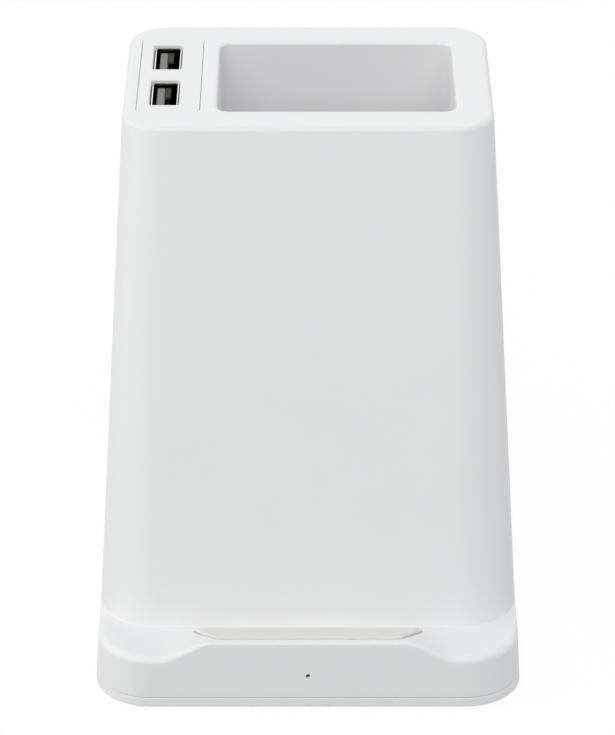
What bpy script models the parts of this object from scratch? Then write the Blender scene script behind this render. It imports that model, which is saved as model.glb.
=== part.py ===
"""Wireless charger with a pen well and two USB-A sockets, in metres, +Z up, front towards -Y."""

import math

import bmesh
import bpy
import numpy as np
from mathutils import Matrix, Vector

# Body outline. Heights are measured from the bottom edge of the base.
BASE_WIDTH = 0.0907
BODY_HEIGHT = 0.1161
SIDE_DRAFT = math.radians(3.18)
FRONT_LEAN = math.radians(14.5)
BASE_CORNER = 0.0122
TOP_CORNER = 0.0085
TOP_FILLET = 0.0014
WALL = 0.0022

# Ledge that the phone stands on, with its raised lip
LEDGE_HEIGHT = 0.0120
LEDGE_DEPTH = 0.0131
LIP_RISE = 0.0040
LIP_END_GAP = 0.0011
LIP_SLOPE_RUN = 0.0114
RIM_FILLET = 0.0011
CREASE_FILLET = 0.0008

# Silicone strip on the ledge
PAD_SETBACK = 0.0027
PAD_LENGTH = 0.0081
PAD_REAR_WIDTH = 0.0500
PAD_FRONT_WIDTH = 0.0402
PAD_CORNER = 0.0012
PAD_RECESS = 0.0006
PAD_PROUD = 0.0004

# Pen well
WELL_RIGHT_MARGIN = 0.00785
WELL_FRONT_MARGIN = 0.0096
WELL_REAR_MARGIN = 0.0091
WELL_FLOOR_HEIGHT = 0.0275
WELL_CORNER = 0.0030
WELL_DRAFT = math.radians(0.5)
WELL_WALL = 0.0018
WELL_MOUTH_FILLET = 0.0012
RIB_THICKNESS = 0.0015
RIB_SPACING = 0.0240

# Socket insert in the top face
PANEL_LEFT_MARGIN = 0.0030
PANEL_FRONT_MARGIN = 0.0090
PANEL_REAR_MARGIN = 0.0078
PANEL_SOCKET_MARGIN = 0.003525
PANEL_WIDTH = 0.0130
PANEL_WELL_GAP = 0.0038
PANEL_CORNER = 0.0008
PANEL_SEAM = 0.00025
TAB_THICKNESS = 0.0015
TAB_WIDTH = 0.0075
TAB_REACH = 0.0030
PANEL_POST_RADIUS = 0.0024
SOCKET_LINE_SHARE = 0.43

# USB-A sockets
SOCKET_THICKNESS = 0.0057
SOCKET_WIDTH = 0.0131
SOCKET_LENGTH = 0.0138
SOCKET_PITCH = 0.01955
SOCKET_CORNER = 0.0007
SOCKET_RECESS = 0.0007
SHELL_SHEET = 0.0003
TONGUE_THICKNESS = 0.00184
TONGUE_WIDTH = 0.0111
TONGUE_GAP = 0.00072
TONGUE_RECESS = 0.0006
SOCKET_BASE_HEIGHT = 0.0040
CONTACT_WIDTH = 0.0010
CONTACT_SHEET = 0.00025
CONTACT_BOW = 0.0009
CONTACT_TIP_GAP = 0.0014
INNER_CONTACT_PITCH = 0.0020
OUTER_CONTACT_PITCH = 0.0070

# Joint between housing and base cover
SEAM_HEIGHT = 0.0021
SEAM_GAP = 0.0003
COVER_CHAMFER = 0.0005
UPSTAND_HEIGHT = 0.0018
UPSTAND_THICKNESS = 0.0014
BOSS_RADIUS = 0.0036
BOSS_HEIGHT = 0.0160
BOSS_BITE = 0.0012
BOSS_FRONT_GAP = 0.0144
BOSS_REAR_GAP = 0.0255
COVER_SCREW_SHANK = 0.0012
COVER_SCREW_HEAD = 0.0026
COVER_SCREW_HEAD_HEIGHT = 0.0011
COVER_SCREW_LENGTH = 0.0090
COUNTERBORE_DEPTH = 0.0016
SCREW_TIP_SHARE = 1.5
HEAD_CROWN_SHARE = 0.6
HEAD_SHOULDER_SHARES = (0.92, 0.6)

# Feet
FOOT_STAND = 0.0010
FOOT_RADIUS = 0.0050
FOOT_RECESS = 0.0008
FOOT_ROUND = 0.0004
FOOT_INSET = 0.0115

# Boards
BOARD_WIDTH = 0.0480
BOARD_THICKNESS = 0.0012
BOARD_HEIGHT = 0.0055
BOARD_END_GAP = 0.0026
BOARD_CORNER = 0.0010
BOARD_HOLE_INSET = 0.0045
BOARD_HOLE_END_INSET = 0.00675
POST_RADIUS = 0.0026
BOARD_SCREW_SHANK = 0.0009
BOARD_SCREW_HEAD = 0.0019
BOARD_SCREW_HEAD_HEIGHT = 0.0009
BOARD_SCREW_LENGTH = 0.0045
USB_BOARD_MARGIN = 0.0006
USB_BOARD_END = 0.0020

# Parts on the charger board: x, y and z sizes, and places as shares of the board's half sizes
CONTROLLER_SIZE = (0.0070, 0.0070, 0.0009)
DRIVER_SIZE = (0.0050, 0.0060, 0.0009)
INDUCTOR_SIZE = (0.0070, 0.0070, 0.0040)
CAPACITOR_SIZE = (0.0046, 0.0032, 0.0025)
CAPACITOR_PITCH = 0.0060
CAPACITOR_COUNT = 3
PLUG_SIZE = (0.0062, 0.0048, 0.0050)
CHIP_EDGE = 0.0003
INDUCTOR_EDGE = 0.0012
CONTROLLER_SHARES = (-0.30, 0.40)
DRIVER_SHARES = (0.35, 0.30)
INDUCTOR_SHARES = (0.45, -0.15)
CAPACITOR_SHARES = (0.00, -0.42)
PLUG_SHARES = (-0.78, 0.10)

# Charging coil with its sheet and carrier
COIL_HEIGHT = 0.0500
COIL_INNER_RADIUS = 0.0105
COIL_TURNS = 10
COIL_END_SHARE = 0.5
COIL_PITCH = 0.0012
WIRE_RADIUS = 0.000375
LEAD_LIFT = 0.0013
LEAD_LANDING = 0.0060
LEAD_RISE = 0.0030
LEAD_STEP = 0.0024
INNER_LEAD_SHARE = 0.8
OUTER_LEAD_SHARES = (0.9, 0.7)
CORE_TURN_SHARE = 0.5
CROSSING_TURN_SHARES = (4.0, 1.5)
FERRITE_MARGIN = 0.0015
FERRITE_THICKNESS = 0.0010
FERRITE_CORNER = 0.0040
CARRIER_SIDE = 0.0020
CARRIER_END = 0.0050
CARRIER_THICKNESS = 0.0016
CARRIER_CORNER = 0.0040
CARRIER_POST_RADIUS = 0.0026
CARRIER_POST_INSET = 0.0021
CARRIER_POST_SPREAD = 0.0320

# Pinhole lamp in the base front
LAMP_HEIGHT = 0.0077
PINHOLE_RADIUS = 0.0005
PIPE_RADIUS = 0.0012
PIPE_NOSE = 0.0010
PIPE_LENGTH = 0.0018
PIPE_BOSS_WALL = 0.0009
PIPE_NOSE_SHARE = 0.5
LAMP_SIZE = (0.0020, 0.0010, 0.0014)

# Supply socket in the back wall
INLET_WIDTH = 0.00894
INLET_THICKNESS = 0.00326
INLET_LENGTH = 0.0078
INLET_SHEET = 0.0003
INLET_RECESS = 0.0006
INLET_TONGUE_WIDTH = 0.0067
INLET_TONGUE_THICKNESS = 0.0007
INLET_TONGUE_LENGTH = 0.0045
INLET_ROUND_SHARE = 0.98

# Cable between the two boards
CABLE_RADIUS = 0.0014
CABLE_STEP = 0.0035

# Clearances and mesh steps
FIT = 0.0003
OVERRUN = 0.0010
MERGE = 0.000001
ARC_STEPS = 8
SIDE_STEPS = 4
SLOPE_STEPS = 6
FILLET_STEPS = 3
ROUND_STEPS = 20
LOOP_STEPS = 24
GAP_STEPS = 6
SMOOTH_ANGLE = math.radians(35)

parts = bpy.data.collections.new("wireless_charger_pen_holder")
cutters = bpy.data.collections.new("cutters")


# Scene and materials

def clear_scene():
    for item in list(bpy.data.objects):
        bpy.data.objects.remove(item, do_unlink=True)
    for collection in (parts, cutters):
        bpy.context.scene.collection.children.link(collection)


def make_material(name, colour, roughness, metallic=0.0):
    material = bpy.data.materials.new(name)
    material.use_nodes = True
    shader = material.node_tree.nodes["Principled BSDF"]
    shader.inputs["Base Color"].default_value = (*colour, 1.0)
    shader.inputs["Roughness"].default_value = roughness
    shader.inputs["Metallic"].default_value = metallic
    material.diffuse_color = (*colour, 1.0)
    return material


# The depth of the body: the panel sets the top, the ledge and both slopes add to it

PANEL_LENGTH = SOCKET_PITCH + SOCKET_WIDTH + 2 * PANEL_SOCKET_MARGIN
TOP_DEPTH = PANEL_FRONT_MARGIN + PANEL_LENGTH + PANEL_REAR_MARGIN
LEAN_RUN = (BODY_HEIGHT - LEDGE_HEIGHT) * math.tan(FRONT_LEAN)
BASE_DEPTH = LEDGE_DEPTH + LEAN_RUN + TOP_DEPTH + BODY_HEIGHT * math.tan(SIDE_DRAFT)
LEDGE_BACK = LEDGE_DEPTH - BASE_DEPTH / 2
LEDGE_TILT = math.atan(LIP_RISE / LEDGE_DEPTH)


# Forms of the body, as functions of height

def half_width(z):
    return BASE_WIDTH / 2 - z * math.tan(SIDE_DRAFT)


def back_y(z):
    return BASE_DEPTH / 2 - z * math.tan(SIDE_DRAFT)


def front_y(z):
    return LEDGE_BACK + (z - LEDGE_HEIGHT) * math.tan(FRONT_LEAN)


def corner_radius(z):
    """The upright corners keep one radius up to the ledge and tighten evenly from there to the top."""
    rise = max(0, z - LEDGE_HEIGHT) / (BODY_HEIGHT - LEDGE_HEIGHT)
    return BASE_CORNER + (TOP_CORNER - BASE_CORNER) * rise


TOP_HALF = half_width(BODY_HEIGHT)
PANEL_LEFT = PANEL_LEFT_MARGIN - TOP_HALF
WELL_LEFT = PANEL_LEFT + PANEL_WIDTH + PANEL_WELL_GAP
WELL_RIGHT = TOP_HALF - WELL_RIGHT_MARGIN
WELL_FRONT = front_y(BODY_HEIGHT) + WELL_FRONT_MARGIN
WELL_BACK = back_y(BODY_HEIGHT) - WELL_REAR_MARGIN
WELL_X = (WELL_LEFT + WELL_RIGHT) / 2
WELL_Y = (WELL_FRONT + WELL_BACK) / 2
SOCKET_X = PANEL_LEFT + PANEL_WIDTH * SOCKET_LINE_SHARE
PANEL_Y = front_y(BODY_HEIGHT) + PANEL_FRONT_MARGIN + PANEL_LENGTH / 2


def smooth(share):
    share = np.clip(share, 0, 1)
    return share * share * (3 - 2 * share)


def lip_end():
    return half_width(LEDGE_HEIGHT) - BASE_CORNER - LIP_END_GAP


def lip_share(x):
    """1 along the lip, falling to 0 over the slope at each end."""
    return smooth((lip_end() - np.abs(x)) / LIP_SLOPE_RUN)


def front_shares():
    """Places along the straight front edge, as shares of its half length."""
    reach = half_width(LEDGE_HEIGHT) - BASE_CORNER
    slope = [(lip_end() - LIP_SLOPE_RUN * step / SLOPE_STEPS) / reach for step in range(SLOPE_STEPS + 1)]
    return [-share for share in slope] + slope[::-1]


def corner_angles(quarter):
    return [math.pi / 2 * (quarter + step / ARC_STEPS) for step in range(ARC_STEPS + 1)]


def station_normals():
    """Outward direction and rim share of each point of a body outline."""
    rows = [(-math.pi / 2, 1.0)] * len(front_shares())
    rows += [(angle, 1.0) for angle in corner_angles(-1)]
    rows += [(0.0, 1 - smooth(step / SIDE_STEPS)) for step in range(1, SIDE_STEPS + 1)]
    rows += [(angle, 0.0) for angle in corner_angles(0) + corner_angles(1)]
    rows += [(math.pi, 1 - smooth(step / SIDE_STEPS)) for step in range(SIDE_STEPS, 0, -1)]
    rows += [(angle, 1.0) for angle in corner_angles(2)]
    angles = np.array([row[0] for row in rows])
    return np.stack([np.cos(angles), np.sin(angles)], axis=1), np.array([row[1] for row in rows])


def outline(half_x, y_front, y_back, radius, sides):
    """Rounded rectangle with its side points at the y values in sides."""
    inner = half_x - radius
    corner_y = y_front + radius

    def corner(x, y, quarter):
        return [(x + radius * math.cos(a), y + radius * math.sin(a)) for a in corner_angles(quarter)]

    points = [(share * inner, y_front) for share in front_shares()]
    points += corner(inner, corner_y, -1)
    points += [(half_x, y) for y in sides]
    points += corner(inner, y_back - radius, 0) + corner(-inner, y_back - radius, 1)
    points += [(-half_x, y) for y in reversed(sides)]
    points += corner(-inner, corner_y, 2)
    return np.array(points)


def tower_ring(z, inset):
    side = inset / math.cos(SIDE_DRAFT)
    y_front = front_y(z) + inset / math.cos(FRONT_LEAN)
    radius = corner_radius(z) - inset
    return outline(half_width(z) - side, y_front, back_y(z) - side, radius, [y_front + radius] * SIDE_STEPS)


def base_ring(z, inset, spread=True):
    """Base outline; its side points are spread up to the tower's corner, or all lie there."""
    side = inset / math.cos(SIDE_DRAFT)
    radius = BASE_CORNER - inset
    y_front = inset - BASE_DEPTH / 2
    start = y_front + radius
    end = front_y(LEDGE_HEIGHT - inset) + inset / math.cos(FRONT_LEAN) + radius
    shares = [step / SIDE_STEPS if spread else 1 for step in range(1, SIDE_STEPS + 1)]
    sides = [start + (end - start) * share for share in shares]
    return outline(half_width(z) - side, y_front, back_y(z) - side, radius, sides)


def at_height(ring, z):
    return np.column_stack([ring, np.broadcast_to(z, len(ring))])


def fillet_rings(edge, z, wall_tilt, face_fall, radius):
    """Rings round the corner between a wall that tilts inwards and a face that falls inwards."""
    normals, _ = station_normals()
    turn = math.pi / 2 + face_fall - wall_tilt
    tangent = radius * np.tan(turn / 2)
    rings = []
    for step in range(FILLET_STEPS + 1):
        heading = wall_tilt + turn * step / FILLET_STEPS
        inward = radius * (np.cos(wall_tilt) - np.cos(heading)) - tangent * np.sin(wall_tilt)
        rise = radius * (np.sin(heading) - np.sin(wall_tilt)) - tangent * np.cos(wall_tilt)
        rings.append(at_height(edge - normals * inward[:, None], z + rise))
    return rings


def rim_rings():
    normals, rim = station_normals()
    edge = base_ring(LEDGE_HEIGHT, 0)
    on_front = normals[:, 1] < -1 + MERGE
    rise = np.where(on_front, lip_share(edge[:, 0]), 0) * LIP_RISE
    wall_tilt = np.arctan(np.abs(normals[:, 0]) * math.tan(SIDE_DRAFT))
    return fillet_rings(edge, LEDGE_HEIGHT + rise, wall_tilt, np.arctan(rise / LEDGE_DEPTH), RIM_FILLET * rim)


def tower_tilt(normals):
    """How far the tower's wall tilts inwards: the sides' draft or the lean, less the corners' tightening."""
    draft = math.tan(SIDE_DRAFT)
    lean = np.where(normals[:, 1] < 0, math.tan(FRONT_LEAN), draft)
    tighten = (BASE_CORNER - TOP_CORNER) / (BODY_HEIGHT - LEDGE_HEIGHT)
    across, along = np.abs(normals[:, 0]), np.abs(normals[:, 1])
    return np.arctan(across * draft + along * lean - (across + along - 1) * tighten)


def crease_rings():
    """Hollow fillet between the ledge and the leaning face; it fades out round the tower's front corners."""
    normals, _ = station_normals()
    foot = tower_ring(LEDGE_HEIGHT, 0)
    on_front = normals[:, 1] < -1 + MERGE
    fall = np.arctan(np.where(on_front, lip_share(foot[:, 0]), 0) * LIP_RISE / LEDGE_DEPTH)
    turn = math.pi / 2 + fall - tower_tilt(normals)
    radius = CREASE_FILLET * np.minimum(normals[:, 1], 0) ** 2
    tangent = radius * np.tan(turn / 2)
    rings = []
    for step in range(FILLET_STEPS + 1):
        heading = math.pi / 2 + fall - turn * step / FILLET_STEPS
        outward = tangent * np.cos(fall) - radius * (np.sin(fall) + np.cos(heading))
        rise = tangent * np.sin(fall) + radius * (np.cos(fall) - np.sin(heading))
        rings.append(at_height(foot + normals * outward[:, None], LEDGE_HEIGHT + rise))
    return rings


def top_rings():
    normals, _ = station_normals()
    tilt = tower_tilt(normals)
    return fillet_rings(tower_ring(BODY_HEIGHT, 0), BODY_HEIGHT, tilt, 0 * tilt, TOP_FILLET)


def outer_rings():
    low = SEAM_HEIGHT + SEAM_GAP
    return [at_height(base_ring(low, 0), low)] + rim_rings() + crease_rings() + top_rings()


def cavity_rings():
    normals, _ = station_normals()
    low = SEAM_HEIGHT - OVERRUN
    under = LEDGE_HEIGHT - WALL
    ceiling = base_ring(under, WALL, False)
    on_front = normals[:, 1] < -1 + MERGE
    rise = np.where(on_front, lip_share(ceiling[:, 0]), 0) * LIP_RISE
    return [
        at_height(base_ring(low, WALL, False), low),
        at_height(ceiling, under + rise),
        at_height(tower_ring(under, WALL), under),
        at_height(tower_ring(BODY_HEIGHT - WALL, WALL), BODY_HEIGHT - WALL),
    ]


def rounded_rectangle(x, y, half_x, half_y, radius):
    points = []
    for quarter, (sx, sy) in enumerate([(1, -1), (1, 1), (-1, 1), (-1, -1)], start=-1):
        cx = x + sx * (half_x - radius)
        cy = y + sy * (half_y - radius)
        points += [(cx + radius * math.cos(a), cy + radius * math.sin(a)) for a in corner_angles(quarter)]
    return np.array(points)


# Mesh makers

def add_object(name, mesh, material, collection=parts):
    item = bpy.data.objects.new(name, mesh)
    collection.objects.link(item)
    if material is not None:
        mesh.materials.append(material)
    mesh.shade_smooth()
    mesh.set_sharp_from_angle(angle=SMOOTH_ANGLE)
    if collection is cutters:
        item.hide_render = True
        item.display_type = "WIRE"
    return item


def from_bmesh(name, work, material, collection=parts):
    bmesh.ops.recalc_face_normals(work, faces=work.faces)
    mesh = bpy.data.meshes.new(name)
    work.to_mesh(mesh)
    work.free()
    return add_object(name, mesh, material, collection)


def loft(name, rings, material, collection=parts):
    """Closed solid through rings with the same number of points."""
    work = bmesh.new()
    rows = [[work.verts.new(point) for point in ring] for ring in rings]
    count = len(rows[0])
    for low, high in zip(rows, rows[1:]):
        for i in range(count):
            j = (i + 1) % count
            work.faces.new((low[i], low[j], high[j], high[i]))
    work.faces.new(reversed(rows[0]))
    work.faces.new(rows[-1])
    bmesh.ops.remove_doubles(work, verts=work.verts, dist=MERGE)
    return from_bmesh(name, work, material, collection)


def box(name, low, high, material, corner=0.0, collection=parts):
    """Block between two corners, with its upright edges rounded."""
    low, high = Vector(low), Vector(high)
    work = bmesh.new()
    bmesh.ops.create_cube(work, size=1.0)
    bmesh.ops.scale(work, vec=high - low, verts=work.verts)
    if corner > 0:
        upright = [edge for edge in work.edges if abs((edge.verts[0].co - edge.verts[1].co).z) > MERGE]
        bmesh.ops.bevel(work, geom=upright, offset=corner, segments=FILLET_STEPS, profile=0.5, affect="EDGES")
    item = from_bmesh(name, work, material, collection)
    item.location = (low + high) / 2
    return item


def cylinders(name, centres, radius, low, high, material=None, collection=cutters):
    """Upright cylinders of one size at several places, as one mesh."""
    work = bmesh.new()
    for x, y in centres:
        place = Matrix.Translation((x, y, (low + high) / 2))
        bmesh.ops.create_cone(work, cap_ends=True, segments=ROUND_STEPS, radius1=radius, radius2=radius,
                              depth=high - low, matrix=place)
    return from_bmesh(name, work, material, collection)


def turned(name, profile, material, collection=parts):
    """Solid of revolution from (radius, height) points that run down its outer side."""
    mesh = bpy.data.meshes.new(name)
    mesh.from_pydata([(r, 0, z) for r, z in profile], [(i, i + 1) for i in range(len(profile) - 1)], [])
    item = add_object(name, mesh, material, collection)
    screw = item.modifiers.new("revolve", "SCREW")
    screw.steps = ROUND_STEPS
    screw.render_steps = ROUND_STEPS
    screw.use_merge_vertices = True
    screw.merge_threshold = MERGE
    screw.use_smooth_shade = True
    return item


def combine(item, other, operation):
    change = item.modifiers.new(other.name, "BOOLEAN")
    change.object = other
    change.operation = operation
    change.solver = "EXACT"


def cut(item, *others):
    for other in others:
        combine(item, other, "DIFFERENCE")


def join(item, *others):
    for other in others:
        combine(item, other, "UNION")


def smooth_path(route, spacing):
    """Points at an even spacing on a Catmull-Rom curve through the route."""
    route = np.array(route, dtype=float)
    padded = np.vstack([2 * route[0] - route[1], route, 2 * route[-1] - route[-2]])
    fine = []
    for p0, p1, p2, p3 in zip(padded, padded[1:], padded[2:], padded[3:]):
        t = np.linspace(0, 1, LOOP_STEPS, endpoint=False)[:, None]
        fine.append(0.5 * (2 * p1 + (p2 - p0) * t + (2 * p0 - 5 * p1 + 4 * p2 - p3) * t ** 2
                           + (3 * p1 - p0 - 3 * p2 + p3) * t ** 3))
    fine = np.vstack(fine + [route[-1:]])
    along = np.concatenate([[0], np.cumsum(np.linalg.norm(np.diff(fine, axis=0), axis=1))])
    places = np.linspace(0, along[-1], max(2, int(round(along[-1] / spacing)) + 1))
    return np.stack([np.interp(places, along, fine[:, axis]) for axis in range(3)], axis=1)


def wire(name, points, radius, resolution, material):
    curve = bpy.data.curves.new(name, "CURVE")
    curve.dimensions = "3D"
    curve.bevel_depth = radius
    curve.bevel_resolution = resolution
    curve.use_fill_caps = True
    spline = curve.splines.new("POLY")
    spline.points.add(len(points) - 1)
    spline.points.foreach_set("co", np.column_stack([points, np.ones(len(points))]).ravel())
    curve.materials.append(material)
    item = bpy.data.objects.new(name, curve)
    parts.objects.link(item)
    return item


# Housing with the pen well

def boss_places():
    x = half_width(BOSS_HEIGHT) - WALL - BOSS_RADIUS + BOSS_BITE
    front = LEDGE_BACK + BOSS_FRONT_GAP
    back = BASE_DEPTH / 2 - BOSS_REAR_GAP
    return [(-x, front), (x, front), (-x, back), (x, back)]


def well_ring(z, grow):
    shrink = (BODY_HEIGHT - z) * math.tan(WELL_DRAFT) - grow
    half_x = (WELL_RIGHT - WELL_LEFT) / 2 - shrink
    half_y = (WELL_BACK - WELL_FRONT) / 2 - shrink
    return rounded_rectangle(WELL_X, WELL_Y, half_x, half_y, WELL_CORNER + grow)


def well_cutter():
    rings = [at_height(well_ring(WELL_FLOOR_HEIGHT, 0), WELL_FLOOR_HEIGHT)]
    for step in range(FILLET_STEPS + 1):
        angle = math.pi / 2 * step / FILLET_STEPS
        z = BODY_HEIGHT - WELL_MOUTH_FILLET * (1 - math.sin(angle))
        rings.append(at_height(well_ring(z, WELL_MOUTH_FILLET * (1 - math.cos(angle))), z))
    rings.append(at_height(well_ring(BODY_HEIGHT, WELL_MOUTH_FILLET), BODY_HEIGHT + OVERRUN))
    return loft("well_space", rings, None, cutters)


def well_cup():
    low = WELL_FLOOR_HEIGHT - WELL_WALL
    high = BODY_HEIGHT - WALL / 2
    rings = [at_height(well_ring(z, WELL_WALL), z) for z in (low, high)]
    return loft("well_cup", rings, None, cutters)


def well_rib(name, x):
    """Upright web between the well and the back wall."""
    rings = []
    for z in (WELL_FLOOR_HEIGHT, BODY_HEIGHT - WALL / 2):
        y_low = WELL_BACK + WELL_WALL / 2
        y_high = back_y(z) - WALL / 2
        left, right = x - RIB_THICKNESS / 2, x + RIB_THICKNESS / 2
        rings.append([(left, y_low, z), (right, y_low, z), (right, y_high, z), (left, y_high, z)])
    return loft(name, rings, None, cutters)


def panel_space():
    low = (PANEL_LEFT - PANEL_SEAM, PANEL_Y - PANEL_LENGTH / 2 - PANEL_SEAM, BODY_HEIGHT - WALL - OVERRUN)
    high = (PANEL_LEFT + PANEL_WIDTH + PANEL_SEAM, PANEL_Y + PANEL_LENGTH / 2 + PANEL_SEAM,
            BODY_HEIGHT + OVERRUN)
    return box("panel_space", low, high, None, PANEL_CORNER, cutters)


def ledge_point(x, along, above):
    """Point on the tilted middle of the ledge, measured from the foot of the leaning face."""
    y = LEDGE_BACK - along * math.cos(LEDGE_TILT) + above * math.sin(LEDGE_TILT)
    z = LEDGE_HEIGHT + along * math.sin(LEDGE_TILT) + above * math.cos(LEDGE_TILT)
    return (x, y, z)


def pad_outline(grow):
    """Trapezium with clipped corners, longer side at the leaning face, as (x, along) points."""
    rear, front = PAD_REAR_WIDTH / 2 + grow, PAD_FRONT_WIDTH / 2 + grow
    start, end = PAD_SETBACK - grow, PAD_SETBACK + PAD_LENGTH + grow
    side = Vector((front - rear, end - start)).normalized() * PAD_CORNER
    half = [(rear - PAD_CORNER, start), (rear + side.x, start + side.y), (front - side.x, end - side.y),
            (front - PAD_CORNER, end)]
    return half + [(-x, along) for x, along in reversed(half)]


def pad_block(name, grow, low, high, material, collection):
    rings = [[ledge_point(x, along, above) for x, along in pad_outline(grow)] for above in (low, high)]
    return loft(name, rings, material, collection)


def on_face(across, up, depth):
    """Point under the leaning face, from the coil's centre: across, up the slope and inwards."""
    z = LEDGE_HEIGHT + COIL_HEIGHT
    y = front_y(z) + up * math.sin(FRONT_LEAN) + depth * math.cos(FRONT_LEAN)
    return (across, y, z + up * math.cos(FRONT_LEAN) - depth * math.sin(FRONT_LEAN))


COIL_DEPTH = WALL + LEAD_LIFT + WIRE_RADIUS + FIT
FERRITE_DEPTH = COIL_DEPTH + WIRE_RADIUS + FIT
CARRIER_DEPTH = FERRITE_DEPTH + FERRITE_THICKNESS + FIT
COIL_RADIUS = COIL_INNER_RADIUS + COIL_PITCH * (COIL_TURNS + COIL_END_SHARE)
FERRITE_SIZE = 2 * (COIL_RADIUS + WIRE_RADIUS + FERRITE_MARGIN)
CARRIER_WIDTH = FERRITE_SIZE + 2 * CARRIER_SIDE
CARRIER_LENGTH = FERRITE_SIZE + 2 * CARRIER_END
CARRIER_POST_DOWN = CARRIER_LENGTH / 2 - CARRIER_POST_INSET
CARRIER_POSTS = [(side * CARRIER_POST_SPREAD / 2, side * CARRIER_POST_DOWN) for side in (-1, 1)]


def seat_on_face(item, across, down, depth):
    """Lays a piece along the leaning face, its own +Z pointing inwards and its +Y down the slope."""
    item.rotation_euler = (-math.pi / 2 - FRONT_LEAN, 0, 0)
    item.location = on_face(across, -down, depth)


def carrier_posts(name, radius, near, far):
    item = cylinders(name, CARRIER_POSTS, radius, 0, far - near)
    seat_on_face(item, 0, 0, near)
    return item


def cross_cylinder(name, radius, y_low, y_high, z):
    """Cylinder along Y in the plane x = 0."""
    item = cylinders(name, [(0, 0)], radius, 0, y_high - y_low)
    item.rotation_euler = (-math.pi / 2, 0, 0)
    item.location = (0, y_low, z)
    return item


INLET_Z = BOARD_HEIGHT + BOARD_THICKNESS + FIT + INLET_THICKNESS / 2
INLET_MOUTH = back_y(INLET_Z) - INLET_RECESS


def slot_bar(name, grow, y_low, y_high, material, collection):
    """Bar along Y with the outline of the supply socket."""
    half_x, half_z = INLET_WIDTH / 2 + grow, INLET_THICKNESS / 2 + grow
    ring = rounded_rectangle(0, 0, half_x, half_z, half_z * INLET_ROUND_SHARE)
    item = loft(name, [at_height(ring, 0), at_height(ring, y_high - y_low)], material, collection)
    item.rotation_euler = (-math.pi / 2, 0, 0)
    item.location = (0, y_low, INLET_Z)
    return item


def make_housing(material):
    housing = loft("housing", outer_rings(), material)
    cut(housing, loft("inner_space", cavity_rings(), None, cutters))
    join(housing, well_cup())
    for side in (-1, 1):
        join(housing, well_rib("well_rib", WELL_X + side * RIB_SPACING / 2))
    cut(housing, well_cutter(), panel_space())
    low = SEAM_HEIGHT + SEAM_GAP
    join(housing, cylinders("cover_bosses", boss_places(), BOSS_RADIUS, low + FIT, BOSS_HEIGHT))
    pilot_top = low + COVER_SCREW_LENGTH
    cut(housing, cylinders("cover_pilots", boss_places(), COVER_SCREW_SHANK + FIT, low - OVERRUN, pilot_top))
    join(housing, carrier_posts("carrier_posts", CARRIER_POST_RADIUS, WALL / 2, CARRIER_DEPTH - FIT))
    cut(housing, carrier_posts("carrier_pilots", BOARD_SCREW_SHANK + FIT, WALL, CARRIER_DEPTH + OVERRUN))
    wall_front = -BASE_DEPTH / 2
    boss_end = wall_front + WALL + FIT + PIPE_LENGTH
    bore = PIPE_RADIUS + FIT
    join(housing, cross_cylinder("pipe_boss", bore + PIPE_BOSS_WALL, wall_front + WALL / 2, boss_end,
                                 LAMP_HEIGHT))
    cut(housing, cross_cylinder("pipe_bore", bore, wall_front + WALL, boss_end + OVERRUN, LAMP_HEIGHT))
    cut(housing, cross_cylinder("pinhole", PINHOLE_RADIUS, wall_front - OVERRUN, wall_front + WALL + OVERRUN,
                                LAMP_HEIGHT))
    cut(housing, slot_bar("inlet_hole", FIT, back_y(0) - WALL * 2, back_y(0) + OVERRUN, None, cutters))
    cut(housing, pad_block("pad_recess", FIT, -PAD_RECESS, OVERRUN, None, cutters))
    return housing


def make_rest_pad(material):
    return pad_block("rest_pad", 0, FIT - PAD_RECESS, PAD_PROUD, material, parts)


# Base cover, feet and screws

def board_ends():
    front = WALL + BOARD_END_GAP - BASE_DEPTH / 2
    back = back_y(0) - WALL - BOARD_END_GAP
    return front, back


def board_hole_places():
    front, back = board_ends()
    x = BOARD_WIDTH / 2 - BOARD_HOLE_INSET
    rows = (front + BOARD_HOLE_END_INSET, back - BOARD_HOLE_END_INSET)
    return [(side * x, y) for y in rows for side in (-1, 1)]


def foot_places():
    x = BASE_WIDTH / 2 - FOOT_INSET
    y = BASE_DEPTH / 2 - FOOT_INSET
    return [(-x, -y), (x, -y), (-x, y), (x, y)]


def make_base_cover(material):
    rings = [at_height(base_ring(0, COVER_CHAMFER), 0), at_height(base_ring(COVER_CHAMFER, 0), COVER_CHAMFER),
             at_height(base_ring(SEAM_HEIGHT, 0), SEAM_HEIGHT)]
    cover = loft("base_cover", rings, material)
    top = SEAM_HEIGHT + UPSTAND_HEIGHT
    outer, inner = WALL + FIT, WALL + FIT + UPSTAND_THICKNESS
    upstand = [at_height(base_ring(SEAM_HEIGHT, outer), z) for z in (SEAM_HEIGHT / 2, top)]
    hollow = [at_height(base_ring(SEAM_HEIGHT, inner), z) for z in (SEAM_HEIGHT, top + OVERRUN)]
    join(cover, loft("upstand", upstand, None, cutters))
    cut(cover, loft("upstand_hollow", hollow, None, cutters))
    cut(cover, cylinders("boss_notches", boss_places(), BOSS_RADIUS + FIT, SEAM_HEIGHT, top + OVERRUN))
    post_top = BOARD_HEIGHT - FIT
    join(cover, cylinders("board_posts", board_hole_places(), POST_RADIUS, SEAM_HEIGHT / 2, post_top))
    cut(cover, cylinders("post_pilots", board_hole_places(), BOARD_SCREW_SHANK + FIT,
                         BOARD_HEIGHT + BOARD_THICKNESS - BOARD_SCREW_LENGTH, post_top + OVERRUN))
    cut(cover, cylinders("foot_recesses", foot_places(), FOOT_RADIUS + FIT, -OVERRUN, FOOT_RECESS))
    cut(cover, cylinders("counterbores", boss_places(), COVER_SCREW_HEAD + FIT, -OVERRUN, COUNTERBORE_DEPTH))
    cut(cover, cylinders("screw_holes", boss_places(), COVER_SCREW_SHANK + FIT, 0, SEAM_HEIGHT + OVERRUN))
    return cover


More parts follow.
